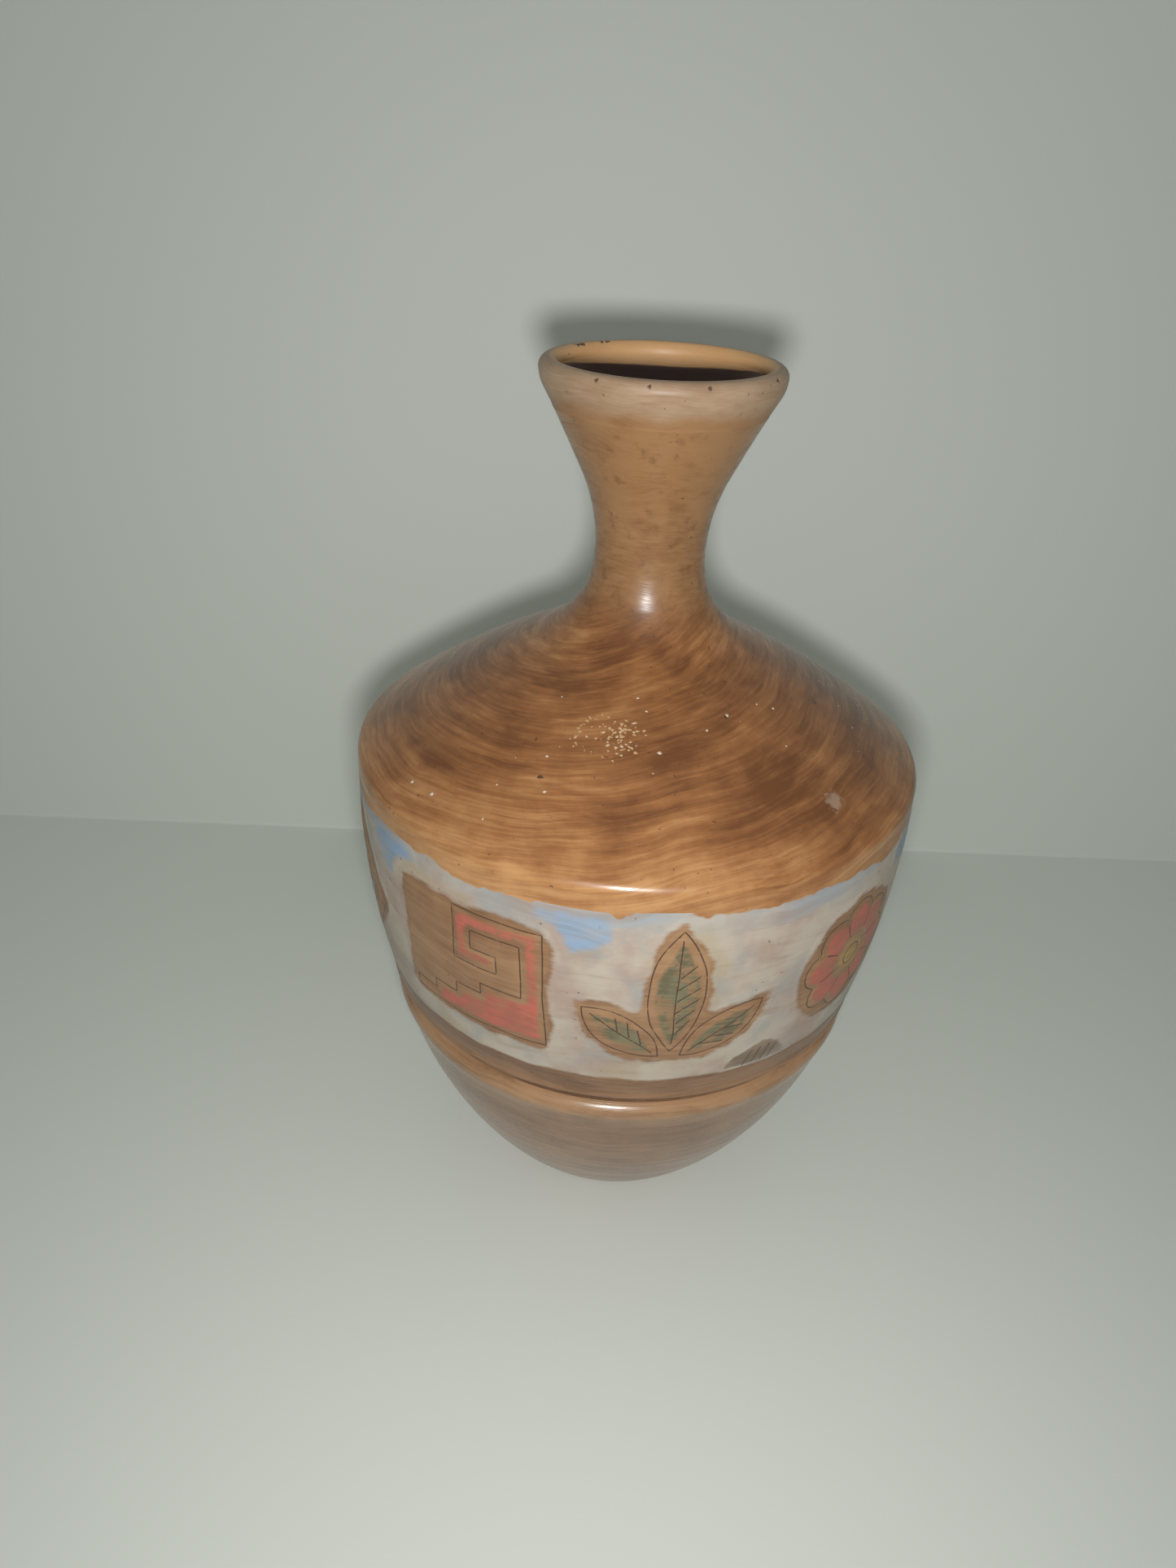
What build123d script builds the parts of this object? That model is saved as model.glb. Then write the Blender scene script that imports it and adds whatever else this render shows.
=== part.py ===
# Burnished earthenware vase, thrown in four sections and painted with slips.
# Millimetres. The vase stands on its foot with +Z up; the origin is the centre of the foot.
# The front of the painted belt faces -Y. Outlines are (radius, height) pairs, turned about Z.
import os
from math import cos, radians, sin, sqrt

from build123d import *

# Driving dimensions
HEIGHT = 259.6
FOOT_RADIUS = 33.8
FOOT_RING = 6.0
FOOT_HOLLOW = 1.2
FLOOR_TOP = 8.0
BOWL_TOP = 70.6
SILL = 73.6
BELT_LOW = 80.6
BELT_TOP = 148.7
BELT_RIM = 149.0
DOME_OUTER = 78.6
DOME_INNER = 33.5
COLLAR_RADIUS = 23.2
COLLAR_TOP = 190.2
WAIST = (14.75, 211.0)
MOUTH_RADIUS = 31.3
LIP_CROWN = 29.2
LIP_INSIDE = 27.0
SEAM = 0.6

# The three large turned curves, each the centre and the radius of an arc
BOWL_ARC = ((-73.1, 102.1), 149.3)
BELT_ARC = ((-177.3, 141.5), 259.2)
DOME_ARC = ((-114.5, -108.4), 327.5)

# Walls, measured square to the surface
BELT_WALL = 6.3
DOME_WALL = 5.5
NECK_WALL = 4.0

# Laps where one section sits inside the next: the faces either side of the slip
LOW_LAP = (66.4, 66.9)
LOW_LAP_TOP = 80.4
HIGH_LAP = (78.6, 79.1)
HIGH_LAP_TOP = (151.9, 152.4)
NECK_LAP = (18.1, 18.6)
NECK_LAP_LOW = 185.6

# Coats of slip, and the heights where one ends and the next begins
COAT = 0.4
PAINT = 0.2
STAIN_LOW = 1.4
GROUND_LOW = 86.9
GROUND_HIGH = 148.0
PAINT_MARGIN = 0.6

# The frieze: the places of its motifs round the belt, in degrees from the front
PLACES = 9
PLACE_STEP = 360 / PLACES
FIRST_PLACE = -72.0
FRIEZE_CENTRE = 117.5
HALO = 3.6
FRET_STEP = 4.9


def radius_on(arc, height, inset=0.0):
    """Radius of a turned curve, or of the curve inset from it, at a height."""
    (centre_r, centre_z), radius = arc
    return centre_r + sqrt((radius - inset) ** 2 - (height - centre_z) ** 2)


def rise(arc, low, high, inset=0.0):
    """The stretch of a turned curve between two heights."""
    heights = (low, (low + high) / 2, high)
    return ThreePointArc(*[(radius_on(arc, z, inset), z) for z in heights])


def dome(outer, inner, inset=0.0):
    """The stretch of the shoulder's dome between two radii."""
    (centre_r, centre_z), radius = DOME_ARC
    radii = (outer, (outer + inner) / 2, inner)
    points = [(r, centre_z + sqrt((radius - inset) ** 2 - (r - centre_r) ** 2)) for r in radii]
    return ThreePointArc(*points)


def onward(line, point):
    """An arc that carries a line on to a point without a kink."""
    return TangentArc(line @ 1, point, tangent=line % 1)


def straight(*points):
    """Straight edges through a list of points."""
    return Polyline(*points).edges()


def turned(*edges):
    """A solid turned about Z from a closed chain of edges."""
    return revolve(Plane.XZ * make_face([*edges]), Axis.Z)


def coat_on(*edges, side=Side.RIGHT, thickness=COAT):
    """A thin coat on one side of a chain of edges; the right is outwards when drawn upwards."""
    return turned(*offset(Wire([*edges]), amount=thickness, side=side).edges())


# ---- Outside and inside curves, drawn upwards ----

bowl_side = rise(BOWL_ARC, STAIN_LOW, BOWL_TOP)
foot_round = TangentArc((FOOT_RADIUS, 0), bowl_side @ 0, tangent=(1, 0))
ridge_round = ThreePointArc(bowl_side @ 1, (72.65, 72.7), (71.2, SILL))
sill_end = (70.0, SILL)

belt_foot = (70.0, SILL + SEAM)
belt_side = rise(BELT_ARC, BELT_LOW, BELT_TOP)
cove = ThreePointArc(belt_foot, (70.9, 77.0), (73.3, 78.2))
lip_round = ThreePointArc(cove @ 1, (74.5, 78.9), belt_side @ 0)
shoulder_radius = radius_on(BELT_ARC, BELT_TOP)
belt_rim = (shoulder_radius, BELT_RIM)

shoulder_foot = (shoulder_radius, BELT_RIM + SEAM)
shoulder_start = (shoulder_radius, BELT_RIM + 0.9)
dome_side = dome(DOME_OUTER, DOME_INNER)
shoulder_round = TangentArc(shoulder_start, dome_side @ 0, tangent=(0, 1))
collar = onward(dome_side, (COLLAR_RADIUS, COLLAR_TOP))

neck_foot = (COLLAR_RADIUS - 0.35, COLLAR_TOP + SEAM)
neck_fillet = ThreePointArc(neck_foot, (19.4, 195.0), (17.0, 199.0))
waist_side = TangentArc(WAIST, neck_fillet @ 1, tangent=(0, -1))
flare_side = TangentArc(WAIST, (19.5, 232.0), tangent=(0, 1))
flare_top = onward(flare_side, (27.6, 248.4))
mouth_flare = onward(flare_top, (30.2, 253.2))
mouth_side = onward(mouth_flare, (MOUTH_RADIUS, 256.8))
crown_outside = TangentArc((LIP_CROWN, HEIGHT), mouth_side @ 1, tangent=(1, 0))
crown_inside = TangentArc((LIP_CROWN, HEIGHT), (LIP_INSIDE, 256.8), tangent=(-1, 0))

waist_inside = (WAIST[0] - NECK_WALL, WAIST[1])
throat = TangentArc(waist_inside, (15.6, 233.0), tangent=(0, 1))
funnel = onward(throat, crown_inside @ 1)


# ---- Thrown sections and the slip that lutes them ----

def foot_bowl():
    """Lower bowl: hollowed foot, turned ridge, and an upstand that the belt fits over."""
    hollow = FOOT_RADIUS - FOOT_RING
    upstand_in = 62.9
    floor_edge = (30.0, FLOOR_TOP)
    inside = ThreePointArc((upstand_in, SILL), (56.8, 40.0), floor_edge)
    foot = [(0, FLOOR_TOP), (0, FOOT_HOLLOW), (hollow - 1, FOOT_HOLLOW), (hollow, 0), (FOOT_RADIUS, 0)]
    top = [ridge_round @ 1, sill_end, (LOW_LAP[0], SILL), (LOW_LAP[0], LOW_LAP_TOP)]
    top += [(upstand_in, LOW_LAP_TOP), (upstand_in, SILL)]
    floor = Line(floor_edge, foot[0])
    return turned(*straight(*foot), foot_round, bowl_side, ridge_round, *straight(*top), inside, floor)


def lower_seam_slip():
    """Slip between the bowl and the belt, L-shaped in section."""
    inner, outer = LOW_LAP
    points = [(inner, SILL), sill_end, belt_foot, (outer, SILL + SEAM), (outer, LOW_LAP_TOP)]
    points += [(inner, LOW_LAP_TOP), (inner, SILL)]
    return turned(*straight(*points))


def belt_wall():
    """The belt: an overhanging lower lip, a flaring wall and a tongue under the shoulder."""
    inside = rise(BELT_ARC, 86.0, 147.0, BELT_WALL)
    tongue_in = (inside @ 1).X
    tongue_top = HIGH_LAP_TOP[0]
    rim = [belt_side @ 1, belt_rim, (HIGH_LAP[0], BELT_RIM), (HIGH_LAP[0], tongue_top)]
    rim += [(tongue_in, tongue_top), inside @ 1]
    foot = [inside @ 0, (LOW_LAP[1], LOW_LAP_TOP), (LOW_LAP[1], SILL + SEAM), belt_foot]
    return turned(cove, lip_round, belt_side, *straight(*rim), inside, *straight(*foot))


def upper_seam_slip():
    """Slip between the belt and the shoulder, stepped round the belt's tongue."""
    low, high = HIGH_LAP_TOP
    inner, outer = HIGH_LAP
    points = [(inner, BELT_RIM), belt_rim, shoulder_foot, (outer, BELT_RIM + SEAM), (outer, high)]
    points += [(inner - 3, high), (inner - 3, low), (inner, low), (inner, BELT_RIM)]
    return turned(*straight(*points))


def shoulder():
    """The domed shoulder, rebated over the belt's tongue, with an open collar."""
    rebate_top = HIGH_LAP_TOP[1]
    inside = dome(radius_on(DOME_ARC, rebate_top, DOME_WALL), NECK_LAP[1], DOME_WALL)
    rebate = [inside @ 0, (HIGH_LAP[1], rebate_top), (HIGH_LAP[1], BELT_RIM + SEAM), shoulder_foot, shoulder_start]
    mouth = [collar @ 1, (NECK_LAP[1], COLLAR_TOP), inside @ 1]
    return turned(*straight(*rebate), shoulder_round, dome_side, collar, *straight(*mouth), inside)


def neck_seam_slip():
    """Slip between the shoulder's collar and the neck."""
    inner, outer = NECK_LAP
    points = [(inner, NECK_LAP_LOW), (outer, NECK_LAP_LOW), (outer, COLLAR_TOP), collar @ 1, neck_foot]
    points += [(inner, COLLAR_TOP + SEAM), (inner, NECK_LAP_LOW)]
    return turned(*straight(*points))


def neck():
    """The neck with its trumpet mouth and rolled lip, and a tongue inside the collar."""
    bore = TangentArc(waist_inside, (14.0, COLLAR_TOP), tangent=(0, -1))
    tongue = [bore @ 1, (14.6, NECK_LAP_LOW), (NECK_LAP[0], NECK_LAP_LOW), (NECK_LAP[0], COLLAR_TOP + SEAM), neck_foot]
    outside = [neck_fillet, waist_side, flare_side, flare_top, mouth_flare, mouth_side]
    crown = [crown_outside, crown_inside]
    return turned(*straight(*tongue), *outside, *crown, funnel, throat, bore)


# ---- Coats ----

def shoulder_stain():
    """Brown slip brushed over the shoulder, from the belt's upper edge to the collar."""
    edge = rise(BELT_ARC, GROUND_HIGH, BELT_TOP)
    return coat_on(edge, Line(edge @ 1, shoulder_start), shoulder_round, dome_side, collar)


coats = {
    "bowl_stain": coat_on(bowl_side, ridge_round),
    "belt_hem_stain": coat_on(cove, lip_round, rise(BELT_ARC, BELT_LOW, GROUND_LOW)),
    "white_ground": coat_on(rise(BELT_ARC, GROUND_LOW, GROUND_HIGH)),
    "shoulder_stain": shoulder_stain(),
    "neck_stain": coat_on(neck_fillet, waist_side, flare_side, flare_top),
    "lip_slip": coat_on(mouth_flare, mouth_side, crown_outside, crown_inside),
    "mouth_stain": coat_on(funnel.trim(0, 0.96), side=Side.LEFT),
}


# ---- Frieze: flat shapes, x to the right and y up, laid on the belt ----

def column(shape, degrees):
    """A flat shape drawn out from the axis, at an angle from the front."""
    turn = radians(degrees)
    outwards = (sin(turn), -cos(turn), 0)
    plane = Plane(origin=(0, 0, FRIEZE_CENTRE), x_dir=(cos(turn), sin(turn), 0), z_dir=outwards)
    return extrude(plane * shape, amount=100)


def core(lift):
    """The belt between the margins of its ground, filled to the axis and grown by a lift."""
    low, high = GROUND_LOW + PAINT_MARGIN, GROUND_HIGH - PAINT_MARGIN
    side = rise(BELT_ARC, low, high, -lift)
    return turned(side, *straight(side @ 1, (0, high), (0, low), side @ 0))


def painted(shape, degrees, thickness):
    """A flat shape as a layer of paint on the white ground."""
    return (column(shape, degrees) & core(COAT + thickness)) - core(COAT)


def flat(*points):
    """A flat shape with straight sides."""
    return make_face(straight(*points, points[0]))


def fret():
    """A stepped fret: a stair that runs into a squared hook."""
    steps = [(0, 0), (9, 0), (9, 8), (3.6, 8), (3.6, 4.4), (6.4, 4.4), (6.4, 5.6), (4.8, 5.6), (4.8, 6.8)]
    steps += [(7.8, 6.8), (7.8, 3.2), (5.2, 3.2), (5.2, 2.4), (3.5, 2.4), (3.5, 1.6), (1.8, 1.6), (1.8, 0.8), (0, 0.8)]
    return flat(*[((x - 4.5) * FRET_STEP, (y - 4) * FRET_STEP) for x, y in steps])


def leaf(length, width, lean, foot):
    """A pointed leaf that leans from its foot."""
    half = width / 2
    left = ThreePointArc((0, 0), (-half, length / 2), (0, length))
    right = ThreePointArc((0, length), (half, length / 2), (0, 0))
    return Pos(*foot) * Rot(0, 0, -lean) * make_face([left, right])


def sprig():
    """Three leaves on one foot."""
    return {
        "centre_leaf": leaf(42, 15, 0, (0, -17)),
        "left_leaf": leaf(27, 11.5, -50, (-3, -19)),
        "right_leaf": leaf(27, 11.5, 50, (3, -19)),
    }


def rosette(petals=8, petal=6.2, reach=12.5):
    """Round petals about a disc."""
    shape = Sketch() + Circle(reach)
    return shape + [Rot(0, 0, i * 360 / petals) * Pos(reach, 0) * Circle(petal) for i in range(petals)]


def sun(rays=12, inner=14.5, outer=21.0):
    """A disc with pointed rays."""
    tips = [(outer if i % 2 else inner, radians(i * 180 / rays)) for i in range(2 * rays)]
    return flat(*[(r * cos(a), r * sin(a)) for r, a in tips])


def diamond(half_width, half_height):
    return flat((half_width, 0), (0, half_height), (-half_width, 0), (0, -half_height))


def wave():
    """A scroll of half rings that shrink as they turn, on a foot."""
    shape = Sketch() + Pos(0, -17) * Rectangle(40, 6)
    band = 5.5
    shrink = 4.5
    centre = 0.0
    for turn in range(3):
        outer = 19.0 - turn * shrink
        half = Pos(outer * 2, 0) * Rectangle(outer * 4, outer * 4)
        ring = (Circle(outer) - Circle(outer - band)) & (Rot(0, 0, 90 - 180 * turn) * half)
        shape += Pos(centre, 0) * ring
        centre += shrink * (-1) ** turn
    return shape


def add_motif(name, degrees, halo, paints):
    """A motif: its brown halo, and its paints by name. Each is left open where a later one goes."""
    halos.append(column(halo, degrees))
    shapes = {"halo": halo} | paints
    names = list(shapes)
    for depth, part in enumerate(names):
        later = [shapes[other] for other in names[depth + 1:]]
        bare = shapes[part] - later if later else shapes[part]
        frieze[name + "_" + part] = painted(bare, degrees, PAINT * (1 + depth / 2))


def add_lozenge(name, degrees):
    paints = {"ochre": diamond(19, 24), "grey": diamond(12, 15.2), "pink": diamond(5.5, 7)}
    add_motif(name, degrees, offset(diamond(19, 24), amount=HALO), paints)


def add_fret(name, degrees):
    field = RectangleRounded(9 * FRET_STEP + 2 * HALO, 8 * FRET_STEP + 2 * HALO, 2 * HALO)
    add_motif(name, degrees, field, {"coral": fret()})


def add_sprig(name, degrees):
    leaves = sprig()
    field = Sketch() + [offset(shape, amount=HALO) for shape in leaves.values()]
    add_motif(name, degrees, field, leaves)


def add_flower(name, degrees):
    add_motif(name, degrees, Circle(19 + HALO), {"petals": rosette(), "eye": Circle(6.5)})


def add_wave(name, degrees):
    field = Circle(19 + HALO) + Pos(0, -17) * RectangleRounded(40 + 2 * HALO, 6 + 2 * HALO, HALO)
    add_motif(name, degrees, field, {"grey": wave()})


def add_sun(name, degrees):
    add_motif(name, degrees, Circle(21 + HALO), {"ochre": sun(), "pink": Circle(9)})


def between(shape, gap):
    """A patch between two motifs, trimmed where it would run over a halo."""
    patch = painted(shape, FIRST_PLACE + (gap + 0.5) * PLACE_STEP, PAINT)
    return patch - halos[gap] - halos[(gap + 1) % PLACES]


frieze = {}
halos = []
motifs = [
    (add_lozenge, "lozenge"),
    (add_fret, "front_fret"),
    (add_sprig, "front_sprig"),
    (add_flower, "front_flower"),
    (add_wave, "wave"),
    (add_sun, "sun"),
    (add_fret, "back_fret"),
    (add_sprig, "back_sprig"),
    (add_flower, "back_flower"),
]
for place, (add, name) in enumerate(motifs):
    add(name, FIRST_PLACE + place * PLACE_STEP)

SKY_GAPS = (0, 1, 3, 5, 7)
HILL_GAPS = (2, 4, 6, 8)
sky_shape = Pos(0, 24) * Ellipse(13, 9)
hill_shape = Pos(0, -30) * Ellipse(9, 12)
frieze |= {f"sky_patch_{n + 1}": between(sky_shape, gap) for n, gap in enumerate(SKY_GAPS)}
frieze |= {f"hill_{n + 1}": between(hill_shape, gap) for n, gap in enumerate(HILL_GAPS)}


# ---- Write one file per piece ----

sections = {make.__name__: make() for make in (foot_bowl, belt_wall, shoulder, neck)}
seams = {make.__name__: make() for make in (lower_seam_slip, upper_seam_slip, neck_seam_slip)}

os.makedirs("parts", exist_ok=True)
for name, piece in (sections | seams | coats | frieze).items():
    export_step(piece, f"parts/{name}.step")
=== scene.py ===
# A burnished earthenware vase: thrown in sections, painted with slips and incised round its belt.
# It stands on its foot with +Z up and its front towards -Y. Sizes are in millimetres unless they say metres.
from math import atan2, cos, hypot, pi, radians, sin, sqrt

import bpy
import numpy as np
from mathutils import Matrix, Vector
from mathutils.geometry import delaunay_2d_cdt


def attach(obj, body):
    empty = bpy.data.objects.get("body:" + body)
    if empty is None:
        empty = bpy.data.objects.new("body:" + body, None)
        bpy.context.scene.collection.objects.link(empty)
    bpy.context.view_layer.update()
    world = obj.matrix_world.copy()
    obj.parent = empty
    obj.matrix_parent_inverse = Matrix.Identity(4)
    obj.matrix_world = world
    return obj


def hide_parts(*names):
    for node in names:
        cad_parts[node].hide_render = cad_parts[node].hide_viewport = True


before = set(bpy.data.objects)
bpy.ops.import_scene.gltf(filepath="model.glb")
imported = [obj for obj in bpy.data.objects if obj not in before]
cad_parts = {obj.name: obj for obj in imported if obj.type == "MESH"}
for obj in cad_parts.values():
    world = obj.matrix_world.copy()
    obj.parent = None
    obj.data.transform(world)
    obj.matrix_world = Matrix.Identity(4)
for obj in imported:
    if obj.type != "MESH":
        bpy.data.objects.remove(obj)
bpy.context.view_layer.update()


# ---- Thrown sections ----
# Lower bowl, belt, shoulder and neck are thrown one by one from coarse brown earthenware and fired. The
# bare clay shows under the foot and on its edge, with the wheel's rings in it. The neck's clay, seen only
# inside the throat, is painted dark as shade.
MM = 0.001
CLAY_TONES = ((0.330, 0.190, 0.105, 1), (0.215, 0.115, 0.060, 1))
# Painted shade: the neck's dark tones stand for the unlit inside of the throat.
THROAT_SHADE_TONES = ((0.150, 0.078, 0.048, 1), (0.085, 0.042, 0.028, 1))
CLAY_GRIT = (0.110, 0.065, 0.040, 1)
GRIT_SIZE = 1.1
CLAY_RELIEF = 0.12


def feed(tree, socket, value):
    """Wires a socket to another, or sets it."""
    if isinstance(value, bpy.types.NodeSocket):
        tree.links.new(value, socket)
    else:
        socket.default_value = value


def reckon(tree, operation, *values):
    """One step of arithmetic on numbers."""
    step = tree.nodes.new("ShaderNodeMath")
    step.operation = operation
    for socket, value in zip(step.inputs, values):
        feed(tree, socket, value)
    return step.outputs["Value"]


def steer(tree, operation, *values):
    """One step of arithmetic on vectors."""
    step = tree.nodes.new("ShaderNodeVectorMath")
    step.operation = operation
    for socket, value in zip(step.inputs, values):
        feed(tree, socket, value)
    return step.outputs["Value" if operation == "LENGTH" else "Vector"]


def swing(tree, value, amount):
    """Noise from 0 to 1 as a push to either side of nothing."""
    return reckon(tree, "MULTIPLY", reckon(tree, "SUBTRACT", value, 0.5), amount)


def part_of(tree, vector, axis):
    """One of a vector's three numbers."""
    apart = tree.nodes.new("ShaderNodeSeparateXYZ")
    feed(tree, apart.inputs[0], vector)
    return apart.outputs[axis]


def along_axis(tree, axis, number):
    """A vector that runs along one axis."""
    joined = tree.nodes.new("ShaderNodeCombineXYZ")
    feed(tree, joined.inputs[axis], number)
    return joined.outputs[0]


def ease(tree, value, low, high, first=0.0, last=1.0):
    """Turns a value smoothly from first to last as it goes from low to high."""
    step = tree.nodes.new("ShaderNodeMapRange")
    step.interpolation_type = "SMOOTHSTEP"
    given = {"Value": value, "From Min": low, "From Max": high, "To Min": first, "To Max": last}
    for name, number in given.items():
        feed(tree, step.inputs[name], number)
    return step.outputs["Result"]


def mottle(tree, where, scale, detail=2.0, roughness=0.5):
    """Cloudy noise from 0 to 1."""
    step = tree.nodes.new("ShaderNodeTexNoise")
    for name, value in (("Vector", where), ("Scale", scale), ("Detail", detail), ("Roughness", roughness)):
        feed(tree, step.inputs[name], value)
    return step.outputs["Fac"]


def lay_over(tree, share, under, over):
    """One colour laid over another, by a share."""
    step = tree.nodes.new("ShaderNodeMix")
    step.data_type = "RGBA"
    for index, value in ((0, share), (6, under), (7, over)):
        feed(tree, step.inputs[index], value)
    return step.outputs[2]


def open_group(name, inputs, outputs):
    """A new node group from its inputs' values and its outputs' names; a tuple stands for a colour."""
    tree = bpy.data.node_groups.new(name, "ShaderNodeTree")
    for label, value in inputs.items():
        kind = "NodeSocketColor" if isinstance(value, tuple) else "NodeSocketFloat"
        tree.interface.new_socket(label, in_out="INPUT", socket_type=kind).default_value = value
    for label in outputs:
        kind = "NodeSocketColor" if label == "Colour" else "NodeSocketFloat"
        tree.interface.new_socket(label, in_out="OUTPUT", socket_type=kind)
    return tree, tree.nodes.new("NodeGroupInput").outputs, tree.nodes.new("NodeGroupOutput").inputs


def use_group(tree, group, **values):
    """Places a node group in a tree with its own values; gives its outputs."""
    placed = tree.nodes.new("ShaderNodeGroup")
    placed.node_tree = group
    for label, value in values.items():
        feed(tree, placed.inputs[label], value)
    return placed.outputs


def place_in_mm(tree):
    """Where a point of the vase is, in millimetres."""
    return steer(tree, "MULTIPLY", tree.nodes.new("ShaderNodeTexCoord").outputs["Object"], (1000, 1000, 1000))


def make_wheel_marks():
    """Long thin marks that run round the vase, as a brush, a sponge or a pebble leaves them on the wheel."""
    inputs = {"Length": 60.0, "Width": 2.0, "Waver": 3.0, "Slant": 0.0, "Seed": 0.0}
    tree, given, out = open_group("Wheel marks", inputs, ["Marks"])
    where = place_in_mm(tree)
    level = steer(tree, "MULTIPLY", where, (1, 1, 0))
    around = steer(tree, "NORMALIZE", level)
    elsewhere = along_axis(tree, "X", reckon(tree, "MULTIPLY", given["Seed"], 37.0))
    drift = swing(tree, mottle(tree, steer(tree, "ADD", where, elsewhere), 0.028, 2.0), given["Waver"])
    sideways = reckon(tree, "MULTIPLY", steer(tree, "LENGTH", level), -0.6)
    along = reckon(tree, "ADD", part_of(tree, where, "Z"), sideways)
    along = reckon(tree, "ADD", along, reckon(tree, "MULTIPLY", drift, 3.0))
    slant = reckon(tree, "MULTIPLY", part_of(tree, around, "X"), given["Slant"])
    along = reckon(tree, "SUBTRACT", along, slant)
    up = reckon(tree, "ADD", reckon(tree, "DIVIDE", along, given["Width"]), given["Seed"])
    spread = tree.nodes.new("ShaderNodeVectorMath")
    spread.operation = "SCALE"
    feed(tree, spread.inputs[0], around)
    feed(tree, spread.inputs["Scale"], reckon(tree, "DIVIDE", 60.0, given["Length"]))
    drawn_out = steer(tree, "ADD", spread.outputs["Vector"], along_axis(tree, "Z", up))
    feed(tree, out["Marks"], mottle(tree, drawn_out, 1.0, 3.0, 0.55))
    return tree


wheel_marks = make_wheel_marks()


def wheel_lines(tree, length, width, waver, **more):
    """Wheel marks of a length, a width and a waver, from 0 to 1."""
    return use_group(tree, wheel_marks, Length=length, Width=width, Waver=waver, **more)["Marks"]


def new_finish(name, coat=0.0, coat_roughness=0.3):
    """A material with its shader; colour, roughness and relief are fed in after."""
    material = bpy.data.materials.new(name)
    material.use_nodes = True
    tree = material.node_tree
    shader = tree.nodes["Principled BSDF"]
    shader.inputs["Coat Weight"].default_value = coat
    shader.inputs["Coat Roughness"].default_value = coat_roughness
    return material, tree, shader


def add_relief(tree, shader, height, depth):
    """Raises the surface by a height from 0 to 1, over a depth."""
    bump = tree.nodes.new("ShaderNodeBump")
    bump.inputs["Strength"].default_value = 1.0
    bump.inputs["Distance"].default_value = depth * MM
    feed(tree, bump.inputs["Height"], height)
    feed(tree, shader.inputs["Normal"], bump.outputs["Normal"])


def dress(tree, shader, colour, lines, gloss, relief, depth):
    """Gives a shader its colour, its relief, and a roughness between two values that follows the lines."""
    feed(tree, shader.inputs["Base Color"], colour)
    feed(tree, shader.inputs["Roughness"], ease(tree, lines, 0.3, 0.7, *gloss))
    add_relief(tree, shader, relief, depth)


def make_bare_clay(name, light, dark):
    """Coarse clay in two tones, with the wheel's rings and dark grit."""
    material, tree, shader = new_finish(name)
    where = place_in_mm(tree)
    rings = wheel_lines(tree, 140.0, 2.2, 2.0)
    cloud = mottle(tree, where, 0.11, 3.0)
    grit = ease(tree, mottle(tree, where, 1 / GRIT_SIZE, 1.0), 0.66, 0.72)
    tone = reckon(tree, "ADD", reckon(tree, "MULTIPLY", rings, 0.5), reckon(tree, "MULTIPLY", cloud, 0.5))
    colour = lay_over(tree, ease(tree, tone, 0.38, 0.62), dark, light)
    colour = lay_over(tree, reckon(tree, "MULTIPLY", grit, 0.6), colour, CLAY_GRIT)
    rough = reckon(tree, "ADD", rings, reckon(tree, "MULTIPLY", grit, 0.4))
    dress(tree, shader, colour, cloud, (0.78, 0.92), rough, CLAY_RELIEF)
    return material


def face_with(material, slot, *names):
    """Gives solids of the frame their clay."""
    for name in names:
        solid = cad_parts[name]
        solid.data.materials.clear()
        solid.data.materials.append(material)


face_with(make_bare_clay("bare_clay", *CLAY_TONES), "fired_clay", "foot_bowl", "belt_wall", "shoulder")
face_with(make_bare_clay("throat_shade_clay", *THROAT_SHADE_TONES), "fired_clay", "neck")


# ---- Seams ----
# Each section is luted to the next with wet slip of the same clay, which fires a little darker.
# It shows as a dark line at the bottom of the groove under the belt.
SEAM_TONES = ((0.170, 0.092, 0.048, 1), (0.085, 0.045, 0.026, 1))

luting_slip = make_bare_clay("luting_slip", *SEAM_TONES)
face_with(luting_slip, "luting_slip", "lower_seam_slip", "upper_seam_slip", "neck_seam_slip")


# ---- Stain on the lower bowl ----
# Iron-brown slip brushed on while the bowl turns, from just above the foot over the turned ridge. It is
# rubbed with a pebble to a soft shine, which leaves fine level lines and lets tan clay through on the ridge.
COAT = 0.4
BOWL_ARC = ((-73.1, 102.1), 149.3)
STAIN_LOW = 1.4
BOWL_TOP = 70.6
RIDGE = (72.65, 72.7)
SILL = (71.2, 73.6)
BEAD = ((70.2, 70.4), 3.3)
BEAD_TURN = (-18, 72)
BEAD_START = 58.0
BOWL_TONES = ((0.350, 0.190, 0.096, 1), (0.240, 0.125, 0.061, 1), (0.138, 0.067, 0.033, 1))
RUBBED = (0.430, 0.250, 0.130, 1)
SPECK = (0.060, 0.030, 0.018, 1)


def radius_on(arc, height):
    """Radius of a turned curve at a height."""
    (centre_r, centre_z), radius = arc
    return centre_r + sqrt(radius ** 2 - (height - centre_z) ** 2)


def up_arc(arc, low, high):
    """Three points on a turned curve: at two heights and halfway between."""
    return [(radius_on(arc, z), z) for z in (low, (low + high) / 2, high)]


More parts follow.
